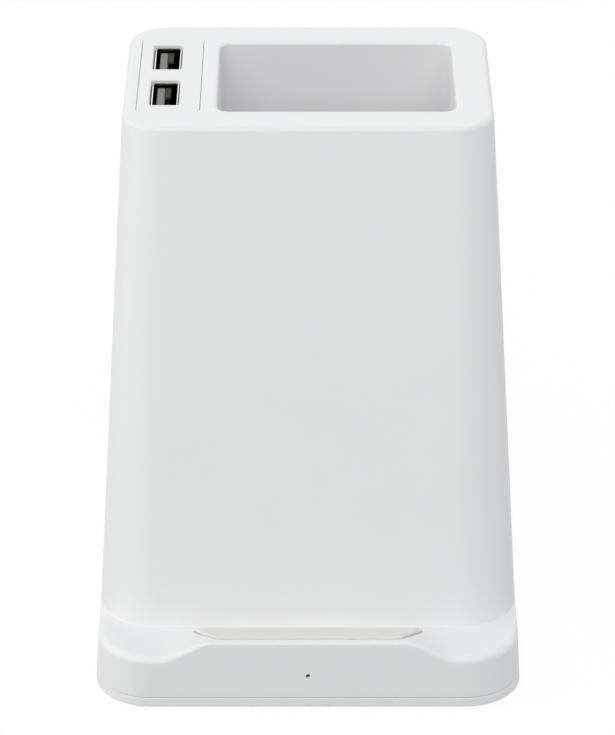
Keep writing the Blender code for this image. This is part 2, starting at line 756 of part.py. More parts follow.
def screw_profile(head_radius, head_height, shank_radius, length):
    """Pan head above zero, plain shank with a point below."""
    tip = shank_radius * SCREW_TIP_SHARE
    across, up = HEAD_SHOULDER_SHARES
    return [(0, head_height), (head_radius * HEAD_CROWN_SHARE, head_height),
            (head_radius * across, head_height * up), (head_radius, 0), (shank_radius, 0),
            (shank_radius, tip - length), (0, -length)]


def make_screw(name, place, head_down, sizes, material):
    item = turned(name, screw_profile(*sizes), material)
    item.location = place
    if head_down:
        item.rotation_euler = (math.pi, 0, 0)
    return item


def make_feet(material):
    top = FOOT_RECESS - FIT
    profile = [(0, top), (FOOT_RADIUS, top), (FOOT_RADIUS, FOOT_ROUND - FOOT_STAND),
               (FOOT_RADIUS - FOOT_ROUND, -FOOT_STAND), (0, -FOOT_STAND)]
    feet = []
    for number, (x, y) in enumerate(foot_places(), start=1):
        foot = turned(f"foot_{number}", profile, material)
        foot.location = (x, y, 0)
        feet.append(foot)
    return feet


def make_cover_screws(material):
    sizes = (COVER_SCREW_HEAD, COVER_SCREW_HEAD_HEIGHT, COVER_SCREW_SHANK, COVER_SCREW_LENGTH)
    seat = COUNTERBORE_DEPTH - FIT
    return [make_screw(f"cover_screw_{number}", (x, y, seat), True, sizes, material)
            for number, (x, y) in enumerate(boss_places(), start=1)]


# Sockets in the top

PANEL_UNDERSIDE = BODY_HEIGHT - WALL - FIT - TAB_THICKNESS
SOCKET_TOP = BODY_HEIGHT - SOCKET_RECESS
SOCKET_BOTTOM = SOCKET_TOP - SOCKET_LENGTH
USB_BOARD_TOP = SOCKET_BOTTOM - FIT


def socket_places():
    return {"rear": PANEL_Y + SOCKET_PITCH / 2, "front": PANEL_Y - SOCKET_PITCH / 2}


def socket_block(name, y, grow, low, high, corner, material, collection):
    half_x, half_y = SOCKET_THICKNESS / 2 + grow, SOCKET_WIDTH / 2 + grow
    return box(name, (SOCKET_X - half_x, y - half_y, low), (SOCKET_X + half_x, y + half_y, high), material,
               corner, collection)


def make_usb_panel(material):
    low = (PANEL_LEFT, PANEL_Y - PANEL_LENGTH / 2, PANEL_UNDERSIDE)
    high = (PANEL_LEFT + PANEL_WIDTH, PANEL_Y + PANEL_LENGTH / 2, BODY_HEIGHT)
    panel = box("usb_panel", low, high, material, PANEL_CORNER)
    tab_low = (high[0] - TAB_WIDTH, low[1] - TAB_REACH, PANEL_UNDERSIDE)
    tab_high = (high[0] - PANEL_CORNER, high[1] + TAB_REACH, BODY_HEIGHT - WALL - FIT)
    join(panel, box("panel_tabs", tab_low, tab_high, None, PANEL_CORNER, cutters))
    post_low = USB_BOARD_TOP + FIT
    join(panel, cylinders("panel_post", [(SOCKET_X, PANEL_Y)], PANEL_POST_RADIUS, post_low,
                          BODY_HEIGHT - WALL))
    cut(panel, cylinders("panel_pilot", [(SOCKET_X, PANEL_Y)], BOARD_SCREW_SHANK + FIT, post_low - OVERRUN,
                         post_low + BOARD_SCREW_LENGTH))
    for side, y in socket_places().items():
        cut(panel, socket_block(f"socket_hole_{side}", y, PANEL_SEAM, PANEL_UNDERSIDE - OVERRUN,
                                BODY_HEIGHT + OVERRUN, SOCKET_CORNER, None, cutters))
    return panel


def tongue_left():
    return SOCKET_X - SOCKET_THICKNESS / 2 + SHELL_SHEET + TONGUE_GAP


def make_socket_shell(side, y, material):
    shell = socket_block(f"usb_shell_{side}", y, 0, SOCKET_BOTTOM, SOCKET_TOP, SOCKET_CORNER, material, parts)
    cut(shell, socket_block(f"shell_space_{side}", y, -SHELL_SHEET, SOCKET_BOTTOM - OVERRUN,
                            SOCKET_TOP + OVERRUN, SOCKET_CORNER - SHELL_SHEET, None, cutters))
    return shell


def make_tongue(side, y, material):
    inset = -(SHELL_SHEET + FIT)
    base_top = SOCKET_BOTTOM + SOCKET_BASE_HEIGHT
    base = socket_block(f"usb_tongue_{side}", y, inset, SOCKET_BOTTOM, base_top, 0, material, parts)
    blade_low = (tongue_left(), y - TONGUE_WIDTH / 2, base_top - OVERRUN)
    blade_high = (tongue_left() + TONGUE_THICKNESS, y + TONGUE_WIDTH / 2, SOCKET_TOP - TONGUE_RECESS)
    join(base, box(f"tongue_blade_{side}", blade_low, blade_high, None, 0, cutters))
    return base


def make_contact(name, y, material):
    """Sprung strip that bows away from the tongue and touches it again near the tip."""
    face = tongue_left() + TONGUE_THICKNESS + FIT
    low = SOCKET_BOTTOM + SOCKET_BASE_HEIGHT + FIT
    high = SOCKET_TOP - TONGUE_RECESS - CONTACT_TIP_GAP
    rings = []
    for share in np.linspace(0, 1, ARC_STEPS + 1):
        x = face + CONTACT_BOW * math.sin(math.pi * share) ** 2
        z = low + (high - low) * share
        rings.append([(x, y - CONTACT_WIDTH / 2, z), (x + CONTACT_SHEET, y - CONTACT_WIDTH / 2, z),
                      (x + CONTACT_SHEET, y + CONTACT_WIDTH / 2, z), (x, y + CONTACT_WIDTH / 2, z)])
    return loft(name, rings, material)


def make_contacts(side, y, material):
    outer, inner = OUTER_CONTACT_PITCH / 2, INNER_CONTACT_PITCH / 2
    return [make_contact(f"contact_{side}_{number}", y + offset, material)
            for number, offset in enumerate((-outer, -inner, inner, outer), start=1)]


def usb_board_span():
    low = -half_width(USB_BOARD_TOP) + WALL + USB_BOARD_MARGIN
    depth = USB_BOARD_TOP - BOARD_THICKNESS
    high = WELL_LEFT + (BODY_HEIGHT - depth) * math.tan(WELL_DRAFT) - WELL_WALL - USB_BOARD_MARGIN
    return low, high


def make_usb_board(material):
    x_low, x_high = usb_board_span()
    reach = SOCKET_PITCH / 2 + SOCKET_WIDTH / 2 + USB_BOARD_END
    low = (x_low, PANEL_Y - reach, USB_BOARD_TOP - BOARD_THICKNESS)
    board = box("usb_board", low, (x_high, PANEL_Y + reach, USB_BOARD_TOP), material, BOARD_CORNER)
    cut(board, cylinders("usb_board_hole", [(SOCKET_X, PANEL_Y)], BOARD_SCREW_SHANK + FIT,
                         low[2] - OVERRUN, USB_BOARD_TOP + OVERRUN))
    return board


# Charger board and what stands on it

BOARD_TOP = BOARD_HEIGHT + BOARD_THICKNESS


def make_charger_board(material):
    front, back = board_ends()
    half = BOARD_WIDTH / 2
    board = box("charger_board", (-half, front, BOARD_HEIGHT), (half, back, BOARD_TOP), material,
                BOARD_CORNER)
    cut(board, cylinders("board_holes", board_hole_places(), BOARD_SCREW_SHANK + FIT, BOARD_HEIGHT - OVERRUN,
                         BOARD_TOP + OVERRUN))
    return board


def on_board(name, shares, size, material, corner=CHIP_EDGE, along=0):
    """Part that stands on the charger board, placed by shares of the board's half sizes."""
    front, back = board_ends()
    x = BOARD_WIDTH / 2 * shares[0] + along
    y = (front + back) / 2 + (back - front) / 2 * shares[1]
    low = (x - size[0] / 2, y - size[1] / 2, BOARD_TOP + FIT)
    high = (x + size[0] / 2, y + size[1] / 2, BOARD_TOP + FIT + size[2])
    return box(name, low, high, material, corner)


def make_board_parts(chip, ferrite, ceramic):
    on_board("controller_chip", CONTROLLER_SHARES, CONTROLLER_SIZE, chip)
    on_board("driver_chip", DRIVER_SHARES, DRIVER_SIZE, chip)
    on_board("inductor", INDUCTOR_SHARES, INDUCTOR_SIZE, ferrite, INDUCTOR_EDGE)
    for number in range(CAPACITOR_COUNT):
        along = CAPACITOR_PITCH * (number - (CAPACITOR_COUNT - 1) / 2)
        on_board(f"resonance_capacitor_{number + 1}", CAPACITOR_SHARES, CAPACITOR_SIZE, ceramic, along=along)


def make_board_screws(material):
    sizes = (BOARD_SCREW_HEAD, BOARD_SCREW_HEAD_HEIGHT, BOARD_SCREW_SHANK, BOARD_SCREW_LENGTH)
    for number, (x, y) in enumerate(board_hole_places(), start=1):
        make_screw(f"board_screw_{number}", (x, y, BOARD_TOP + FIT), False, sizes, material)
    low = USB_BOARD_TOP - BOARD_THICKNESS - FIT
    make_screw("usb_board_screw", (SOCKET_X, PANEL_Y, low), True, sizes, material)
    for name, (across, down) in zip(("carrier_screw_left", "carrier_screw_right"), CARRIER_POSTS):
        item = make_screw(name, (0, 0, 0), False, sizes, material)
        seat_on_face(item, across, down, CARRIER_DEPTH + CARRIER_THICKNESS + FIT)


def make_lamp(material):
    front = WALL + FIT - BASE_DEPTH / 2
    low = (-LAMP_SIZE[0] / 2, front + PIPE_LENGTH + FIT, LAMP_HEIGHT - LAMP_SIZE[2] / 2)
    high = (LAMP_SIZE[0] / 2, low[1] + LAMP_SIZE[1], LAMP_HEIGHT + LAMP_SIZE[2] / 2)
    box("status_led", low, high, material)
    nose = PINHOLE_RADIUS * PIPE_NOSE_SHARE
    profile = [(0, PIPE_LENGTH), (PIPE_RADIUS, PIPE_LENGTH), (PIPE_RADIUS, 0), (nose, 0), (nose, -PIPE_NOSE),
               (0, -PIPE_NOSE)]
    pipe = turned("light_pipe", profile, material)
    pipe.rotation_euler = (-math.pi / 2, 0, 0)
    pipe.location = (0, front, LAMP_HEIGHT)


def make_inlet(steel, plastic):
    start = INLET_MOUTH - INLET_LENGTH
    shell = slot_bar("inlet_shell", 0, start, INLET_MOUTH, steel, parts)
    cut(shell, slot_bar("inlet_space", -INLET_SHEET, start - OVERRUN, INLET_MOUTH + OVERRUN, None, cutters))
    block_end = INLET_MOUTH - INLET_RECESS - INLET_TONGUE_LENGTH
    tongue = slot_bar("inlet_tongue", -INLET_SHEET - FIT, start, block_end, plastic, parts)
    half_x, half_z = INLET_TONGUE_WIDTH / 2, INLET_TONGUE_THICKNESS / 2
    blade_low = (-half_x, block_end - OVERRUN, INLET_Z - half_z)
    blade_high = (half_x, INLET_MOUTH - INLET_RECESS, INLET_Z + half_z)
    join(tongue, box("inlet_blade", blade_low, blade_high, None, 0, cutters))


# Coil, sheet and carrier behind the leaning face

def coil_route():
    """Inner lead up from the board, flat spiral, and outer lead back down."""
    turns = np.arange(round((COIL_TURNS + COIL_END_SHARE) * LOOP_STEPS) + 1) / LOOP_STEPS
    radius = COIL_INNER_RADIUS + COIL_PITCH * turns
    angle = 2 * math.pi * turns
    spiral = np.array([on_face(r * math.cos(a), r * math.sin(a), COIL_DEPTH) for r, a in zip(radius, angle)])
    edge = radius[-1]
    low = -COIL_HEIGHT / math.cos(FRONT_LEAN)
    pad_z = BOARD_TOP + FIT
    pad_y = front_y(LEDGE_HEIGHT) + LEAD_LANDING
    crossing = COIL_DEPTH - LEAD_LIFT
    inner = COIL_INNER_RADIUS
    core = inner - COIL_PITCH * CORE_TURN_SHARE
    sink, rise = (COIL_PITCH * share for share in CROSSING_TURN_SHARES)
    inner_lead = [(core, pad_y, pad_z), (core, pad_y, pad_z + LEAD_RISE),
                  on_face(core, low * INNER_LEAD_SHARE, crossing), on_face(core, -edge, crossing),
                  on_face(core, -sink, crossing), on_face(core, -rise, COIL_DEPTH - LEAD_LIFT / 2),
                  tuple(spiral[0])]
    across, down = OUTER_LEAD_SHARES
    outer_lead = [tuple(spiral[-1]), on_face(-edge, -COIL_PITCH, COIL_DEPTH),
                  on_face(-edge, -inner, COIL_DEPTH),
                  on_face(-edge * across, low * down, COIL_DEPTH), (-inner, pad_y, pad_z + LEAD_RISE),
                  (-inner, pad_y, pad_z)]
    inner_part, outer_part = smooth_path(inner_lead, LEAD_STEP), smooth_path(outer_lead, LEAD_STEP)
    return np.vstack([inner_part[:-1], spiral, outer_part[1:]])


def least_gap(points, radius):
    """Smallest clear distance between stretches of one wire that are not neighbours along it."""
    fine = []
    for start, end in zip(points, points[1:]):
        fine.append(start + (end - start) * np.linspace(0, 1, GAP_STEPS, endpoint=False)[:, None])
    fine = np.vstack(fine)
    along = np.concatenate([[0], np.cumsum(np.linalg.norm(np.diff(fine, axis=0), axis=1))])
    least = math.inf
    for index in range(len(fine)):
        far = np.abs(along - along[index]) > COIL_INNER_RADIUS
        if far.any():
            least = min(least, np.linalg.norm(fine[far] - fine[index], axis=1).min())
    return least - 2 * radius


def make_coil(copper, ferrite, plastic):
    route = coil_route()
    wire("coil", route, WIRE_RADIUS, 1, copper)
    turns = COIL_TURNS + COIL_END_SHARE
    print(f"coil: {turns} turns, least gap to itself {least_gap(route, WIRE_RADIUS) * 1000:.2f} mm")
    half = FERRITE_SIZE / 2
    sheet = box("ferrite_sheet", (-half, -half, 0), (half, half, FERRITE_THICKNESS), ferrite, FERRITE_CORNER)
    sheet.data.transform(Matrix.Translation(sheet.location))
    seat_on_face(sheet, 0, 0, FERRITE_DEPTH)
    half_x, half_y = CARRIER_WIDTH / 2, CARRIER_LENGTH / 2
    carrier = box("coil_carrier", (-half_x, -half_y, 0), (half_x, half_y, CARRIER_THICKNESS), plastic,
                  CARRIER_CORNER)
    carrier.data.transform(Matrix.Translation(carrier.location))
    seat_on_face(carrier, 0, 0, CARRIER_DEPTH)
    cut(carrier, carrier_posts("carrier_holes", BOARD_SCREW_SHANK + FIT, CARRIER_DEPTH - OVERRUN,
                               CARRIER_DEPTH + CARRIER_THICKNESS + OVERRUN))


def make_cable(material, plastic):
    lower = on_board("cable_plug_lower", PLUG_SHARES, PLUG_SIZE, plastic)
    x_low, y_low = lower.location.x, lower.location.y
    z_low = BOARD_TOP + FIT + PLUG_SIZE[2] + FIT
    x_top = sum(usb_board_span()) / 2
    y_top = PANEL_Y - SOCKET_PITCH / 2
    plug_top = USB_BOARD_TOP - BOARD_THICKNESS - FIT
    half_x, half_y = PLUG_SIZE[0] / 2, PLUG_SIZE[1] / 2
    box("cable_plug_upper", (x_top - half_x, y_top - half_y, plug_top - PLUG_SIZE[2]),
        (x_top + half_x, y_top + half_y, plug_top), plastic, CHIP_EDGE)
    z_top = plug_top - PLUG_SIZE[2] - FIT
    run = PLUG_SIZE[2]
    route = [(x_low, y_low, z_low), (x_low, y_low, z_low + run), (x_top, y_low, WELL_FLOOR_HEIGHT),
             (x_top, (y_low + y_top) / 2, (z_low + z_top) / 2), (x_top, y_top, z_top - run),
             (x_top, y_top, z_top)]
    wire("usb_cable", smooth_path(route, CABLE_STEP), CABLE_RADIUS, 2, material)


def main():
    clear_scene()
    white = make_material("white_housing", (0.84, 0.84, 0.83), 0.42)
    insert = make_material("white_insert", (0.82, 0.82, 0.82), 0.48)
    silicone = make_material("silicone", (0.70, 0.70, 0.66), 0.62)
    rubber = make_material("rubber", (0.18, 0.18, 0.18), 0.85)
    steel = make_material("socket_steel", (0.62, 0.61, 0.58), 0.28, 1.0)
    screw_steel = make_material("screw_steel", (0.42, 0.41, 0.40), 0.35, 1.0)
    brass = make_material("contact_plating", (0.72, 0.62, 0.42), 0.30, 1.0)
    grey = make_material("tongue_plastic", (0.30, 0.30, 0.29), 0.55)
    black = make_material("black_plastic", (0.03, 0.03, 0.03), 0.50)
    board = make_material("board_laminate", (0.03, 0.16, 0.07), 0.45)
    ferrite = make_material("ferrite", (0.09, 0.09, 0.09), 0.60)
    ceramic = make_material("capacitor_ceramic", (0.42, 0.28, 0.16), 0.50)
    copper = make_material("coil_copper", (0.66, 0.30, 0.16), 0.32, 1.0)
    jacket = make_material("cable_jacket", (0.70, 0.70, 0.70), 0.55)
    natural = make_material("natural_plastic", (0.74, 0.73, 0.68), 0.50)
    lamp = make_material("lamp_lens", (0.78, 0.78, 0.70), 0.20)

    make_housing(white)
    make_rest_pad(silicone)
    make_base_cover(white)
    make_feet(rubber)
    make_cover_screws(screw_steel)
    make_usb_panel(insert)
    for side, y in socket_places().items():
        make_socket_shell(side, y, steel)
        make_tongue(side, y, grey)
        make_contacts(side, y, brass)
    make_usb_board(board)
    make_charger_board(board)
    make_board_parts(black, ferrite, ceramic)
    make_board_screws(screw_steel)
    make_lamp(lamp)
    make_inlet(steel, black)
    make_coil(copper, ferrite, natural)
    make_cable(jacket, natural)

    origin = bpy.data.objects.new("bottom_edge_of_base", None)
    parts.objects.link(origin)
    origin.location = (0, 0, FOOT_STAND)
    for item in list(parts.objects) + list(cutters.objects):
        if item is not origin:
            item.parent = origin
    bpy.context.view_layer.update()


main()
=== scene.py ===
import math

import bmesh
import bpy
import numpy as np
from mathutils import Matrix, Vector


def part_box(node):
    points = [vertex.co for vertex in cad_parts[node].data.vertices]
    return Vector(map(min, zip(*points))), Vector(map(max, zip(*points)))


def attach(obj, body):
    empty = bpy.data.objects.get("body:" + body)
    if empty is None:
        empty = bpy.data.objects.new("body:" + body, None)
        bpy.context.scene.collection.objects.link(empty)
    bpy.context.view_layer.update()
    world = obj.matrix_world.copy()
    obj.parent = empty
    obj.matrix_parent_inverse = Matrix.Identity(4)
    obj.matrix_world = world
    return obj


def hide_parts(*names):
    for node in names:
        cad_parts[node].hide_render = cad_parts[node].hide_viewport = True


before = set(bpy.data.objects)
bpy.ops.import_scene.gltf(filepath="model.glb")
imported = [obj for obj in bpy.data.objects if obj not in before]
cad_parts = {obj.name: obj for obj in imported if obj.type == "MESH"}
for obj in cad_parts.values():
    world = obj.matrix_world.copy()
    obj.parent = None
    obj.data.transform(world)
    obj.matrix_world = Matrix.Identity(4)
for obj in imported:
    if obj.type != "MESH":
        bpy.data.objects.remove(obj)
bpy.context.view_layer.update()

view = {"focalPixels": 3800.0, "imageHeight": 735, "sensor": 36.0, "place": (0.0, -0.7357, 0.4304),
        "tilt": 63.0, "shiftX": -0.00075}


def placed(name, data):
    # a new object in the scene
    made = bpy.data.objects.new(name, data)
    bpy.context.scene.collection.objects.link(made)
    return made


def makeCamera():
    # the lens is the focal length in pixels over the picture's height, times the sensor's height
    camera = bpy.data.cameras.new("camera")
    camera.sensor_fit = "VERTICAL"
    camera.sensor_height = view["sensor"]
    camera.lens = view["focalPixels"] / view["imageHeight"] * view["sensor"]
    camera.shift_x = view["shiftX"]
    eye = placed("camera", camera)
    eye.location = view["place"]
    eye.rotation_euler = (math.radians(view["tilt"]), 0, 0)
    bpy.context.scene.camera = eye


makeCamera()
bpy.context.scene.view_settings.view_transform = "Standard"
print("camera set")

# The body's form, in metres. The ledge's height is measured from the bottom edge of the base.
body = {
    "sideDraft": math.radians(3.18),
    "frontLean": math.radians(14.5),
    "baseCorner": 0.0122,
    "topCorner": 0.0085,
    "topFillet": 0.00115,
    "wall": 0.0022,
    "ledgeHeight": 0.012,
    "ledgeDepth": 0.0131,
    "lipRise": 0.004,
    "lipEndGap": 0.0011,
    "lipSlopeRun": 0.0114,
    "rimFillet": 0.0015,
    "lipFillet": 0.0006,
    "creaseFillet": 0.0003,
    "lipCrease": 0.0002,
    "coverChamfer": 0.0005,
    "seamRound": 0.00018,
    "seamGap": 0.00008,
    "fit": 0.0003,
    "overrun": 0.001,
}
steps = {"corner": 20, "side": 12, "slope": 18, "flat": 6, "fillet": 9, "edge": 4, "ledge": 6, "round": 64,
         "plate": 8, "pad": 7, "slot": 14, "blade": 6, "supplyBlade": 5, "strip": 3, "spring": 15,
         "contact": 41}
weld = 1e-7  # points closer than this are one
four = range(1, 5)  # numbers of the pieces that come in fours
sides = (-1, 1)

coverLow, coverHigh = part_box("base_cover")
housingLow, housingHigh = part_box("housing")
draft, lean = math.tan(body["sideDraft"]), math.tan(body["frontLean"])
baseZ = coverLow.z
halfBase = coverHigh.x + body["coverChamfer"] * draft
backBase = coverHigh.y + body["coverChamfer"] * draft
frontBase = coverLow.y
ledgeZ = baseZ + body["ledgeHeight"]
ledgeBack = frontBase + body["ledgeDepth"]
topZ = housingHigh.z


# Grids and meshes

def gridFaces(rows, cols, wrapAlong):
    # quads between neighbouring points: each row is closed, and wrapAlong joins the last row to the first
    r = np.arange(rows if wrapAlong else rows - 1)[:, None]
    c = np.arange(cols)[None, :]
    nextRow, nextCol = (r + 1) % rows, (c + 1) % cols
    quads = [r * cols + c, r * cols + nextCol, nextRow * cols + nextCol, nextRow * cols + c]
    return np.stack(quads, axis=-1).reshape(-1, 4)


def surface(name, points, wrapAlong=False):
    # closed surface through a grid of points: every row is a closed loop, and the end rows are capped
    rows, cols = points.shape[:2]
    faces = gridFaces(rows, cols, wrapAlong).tolist()
    if not wrapAlong:
        faces += [list(range(cols))[::-1], list(range((rows - 1) * cols, rows * cols))]
    mesh = bpy.data.meshes.new(name)
    mesh.from_pydata(points.reshape(-1, 3).tolist(), [], faces)
    tidyMesh(mesh)
    return placed(name, mesh)


def tidyMesh(mesh):
    # merges coincident points and turns the faces outwards
    work = bmesh.new()
    work.from_mesh(mesh)
    bmesh.ops.remove_doubles(work, verts=work.verts, dist=weld)
    bmesh.ops.recalc_face_normals(work, faces=work.faces)
    work.to_mesh(mesh)
    work.free()


def carve(piece, unions=(), cuts=()):
    # adds and then cuts away whole solids, and leaves a plain mesh
    for other, operation in [(u, "UNION") for u in unions] + [(c, "DIFFERENCE") for c in cuts]:
        change = piece.modifiers.new(other.name, "BOOLEAN")
        change.object = other
        change.operation = operation
        change.solver = "EXACT"
    evaluated = piece.evaluated_get(bpy.context.evaluated_depsgraph_get())
    mesh = bpy.data.meshes.new_from_object(evaluated)
    piece.modifiers.clear()
    piece.data = mesh
    for other in list(unions) + list(cuts):
        bpy.data.objects.remove(other, do_unlink=True)


def merge(name, pieces):
    # several closed bodies as one mesh
    work = bmesh.new()
    for piece in pieces:
        work.from_mesh(piece.data)
    mesh = bpy.data.meshes.new(name)
    work.to_mesh(mesh)
    work.free()
    for piece in pieces:
        bpy.data.objects.remove(piece, do_unlink=True)
    return placed(name, mesh)


def spot(name):
    # a CAD node's box, and its centre seen from above
    low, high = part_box(name)
    return low, high, (low.x + high.x) / 2, (low.y + high.y) / 2


def spots(name):
    # the centres of the four nodes with this name
    return [spot(f"{name}_{number}")[2:] for number in four]


def quarterRound(count):
    # a unit quarter round, as its distances across and down from its corner: 1 - cos a and 1 - sin a
    turn = np.linspace(0, math.pi / 2, count + 1)
    return [(1 - math.cos(a), 1 - math.sin(a)) for a in turn]


edgeRound, filletRound = quarterRound(steps["edge"]), quarterRound(steps["fillet"])
filletShares = np.linspace(0, 1, steps["fillet"] + 1)


def columns(*values):
    # points from their coordinates, each of them one number or a number for every point
    return np.column_stack(np.broadcast_arrays(*values))


def atHeight(ring, z):
    # an outline's (x, y) points with a height
    return columns(*ring.T, z)


def loops(outlineAt, profile):
    # a closed outline, grown by the profile's first value and set at the height of its second
    return np.array([atHeight(outlineAt(grow), z) for grow, z in profile])


def arc(x, y, radius, turn):
    # points on a circle: centre plus radius times (cos, sin)
    return columns(x + radius * np.cos(turn), y + radius * np.sin(turn))


def rounded(x, y, halfX, halfY, radius, count=steps["plate"]):
    # anticlockwise rectangle with round corners
    turn = np.linspace(0, math.pi / 2, count + 1)
    corners = [(1, -1, -math.pi / 2), (1, 1, 0), (-1, 1, math.pi / 2), (-1, -1, math.pi)]
    return np.concatenate([arc(x + sx * (halfX - radius), y + sy * (halfY - radius), radius, start + turn)
                           for sx, sy, start in corners])


def plateLoops(x, y, halfX, halfY, radius, profile, count=steps["plate"], ends=1.0):
    # rounded rectangles at a profile's (growth, height) rows, growing by the share ends of it in Y
    return loops(lambda g: rounded(x, y, halfX + g, halfY + g * ends, radius + g * ends, count), profile)


def roundedPlate(name, x, y, halfX, halfY, radius, low, high, edge=0.0, ends=1.0):
    # upright plate with round corners, and a quarter round of size edge along its top
    profile = [(0, low)] + [(-edge * across, high - edge * down) for across, down in edgeRound]
    return surface(name, plateLoops(x, y, halfX, halfY, radius, profile, ends=ends))


def flared(name, x, y, halfX, halfY, radius, low, high, edge, ends=1.0):
    # cutter for an upright opening whose mouth at the height high is rounded by edge
    profile = [(0, low)] + [(edge * across, high - edge * down) for across, down in edgeRound]
    profile.append((edge, high + body["overrun"]))
    return surface(name, plateLoops(x, y, halfX, halfY, radius, profile, ends=ends))


def lathe(name, profile, place=(0, 0, 0), turnX=0.0):
    # surface of revolution: (radius, height) points turned about +Z, then tilted about X and set in place
    angle = np.linspace(0, 2 * math.pi, steps["round"], endpoint=False)
    r, z = np.array(profile, dtype=float).T[:, :, None]
    points = np.stack([r * np.cos(angle), r * np.sin(angle), z + 0 * angle], axis=-1)
    turned = points @ np.array(Matrix.Rotation(turnX, 3, "X")).T
    return surface(name, turned + np.array(place))


def rod(name, radius, low, high, x, y):
    # upright cylinder
    return lathe(name, [(radius, low), (radius, high)], (x, y, 0))


def carried(name, path, across, profile):
    # a closed profile carried along a path: its first value runs along across, its second square to the path
    path = np.array(path, dtype=float)
    along = np.gradient(path, axis=0)
    along /= np.linalg.norm(along, axis=1)[:, None]
    across = np.array(across, dtype=float)
    square = np.cross(along, across)
    points = path[:, None] + profile[None, :, :1] * across + profile[None, :, 1:] * square[:, None]
    return surface(name, points)


stripCorner = 0.3


def strip(width, thickness):
    # section of a sheet strip: a rectangle whose corners are rounded by a share of its lesser side
    corner = min(width, thickness) * stripCorner
    return rounded(0, 0, width / 2, thickness / 2, corner, steps["strip"])


def tubeProfile(low, high, sheet, levels=()):
    # section of a sheet tube: (growth, height) with a half circle at each rim and inner points at the levels
    half = sheet / 2
    turn = np.linspace(0, math.pi, 2 * steps["edge"] + 1)
    profile = [(0, low + half)]
    profile += [(-half + half * math.cos(a), high - half + half * math.sin(a)) for a in turn]
    profile += [(-sheet, level) for level in levels] + [(-sheet, low + half)]
    return profile + [(-half - half * math.cos(a), low + half - half * math.sin(a)) for a in turn[1:-1]]


# Materials

def finish(colour, rough, mottle, grain, depth, **more):
    # mottle is the share by which the colour wanders; the texture is grain wide and depth high, in metres
    return {"colour": colour, "rough": rough, "mottle": mottle, "grain": grain, "depth": depth, **more}


finishes = {
    "housing_plastic": finish((0.88, 0.87, 0.884), 0.44, 0.012, 0.00035, 0.000008),
    "insert_plastic": finish((0.88, 0.874, 0.882), 0.5, 0.012, 0.0003, 0.00001),
    "silicone": finish((0.782, 0.78, 0.742), 0.62, 0.03, 0.00022, 0.000012),
    "foot_rubber": finish((0.035, 0.035, 0.036), 0.8, 0.12, 0.0004, 0.00003),
    "screw_steel": finish((0.42, 0.41, 0.4), 0.34, 0.08, 0.0003, 0.000004, metal=1.0),
    # socket_steel carries a second, near-black colour: painted shade for the sockets' insides
    "socket_steel": finish((0.8, 0.79, 0.77), 0.28, 0.05, 0.0006, 0.000003, inside=(0.05, 0.048, 0.045),
                           metal=1.0),
    "contact_plating": finish((0.3, 0.25, 0.19), 0.4, 0.06, 0.0004, 0.000002, metal=1.0),
    "tongue_plastic": finish((0.23, 0.23, 0.228), 0.55, 0.08, 0.00025, 0.000006, specular=0.2),
    "contact_rest": finish((0.05, 0.044, 0.039), 0.6, 0.1, 0.0002, 0.000006, specular=0.12),
    "black_plastic": finish((0.018, 0.018, 0.019), 0.48, 0.1, 0.0002, 0.000008),
    "board_laminate": finish((0.012, 0.11, 0.045), 0.38, 0.2, 0.0012, 0.00001),
    "ferrite": finish((0.055, 0.055, 0.058), 0.55, 0.15, 0.0005, 0.000015),
    "capacitor_ceramic": finish((0.34, 0.21, 0.11), 0.42, 0.1, 0.0003, 0.000006),
    "clear_plastic": finish((0.05, 0.05, 0.05), 0.16, 0.03, 0.0005, 0.000002, clear=0.5),
    "coil_copper": finish((0.62, 0.26, 0.12), 0.3, 0.16, 0.00018, 0.000014, metal=0.85),
    "natural_plastic": finish((0.68, 0.66, 0.6), 0.46, 0.04, 0.00035, 0.000008),
    "cable_jacket": finish((0.55, 0.55, 0.55), 0.58, 0.05, 0.00025, 0.00001),
}
texture = {"slowScale": 0.03, "slowDetail": 3.0, "slowRough": 0.55, "fineDetail": 2.0, "fineRough": 0.6,
           "glossFall": 0.04, "glossRise": 0.06, "ior": 1.46, "specular": 0.5, "sharpAngle": 34.0}


def fill(shader, **values):
    # sets a shader node's settings and unlinked inputs by name
    for key, value in values.items():
        if hasattr(shader, key):
            setattr(shader, key, value)
        else:
            shader.inputs[key.replace("_", " ")].default_value = value
    return shader


def node(tree, kind, **values):
    # a new shader node, filled in
    return fill(tree.nodes.new(kind), **values)


def join(tree, links):
    # links given as rows of node, output, node and input
    for start, output, end, entry in links:
        tree.links.new(start.outputs[output], end.inputs[entry])


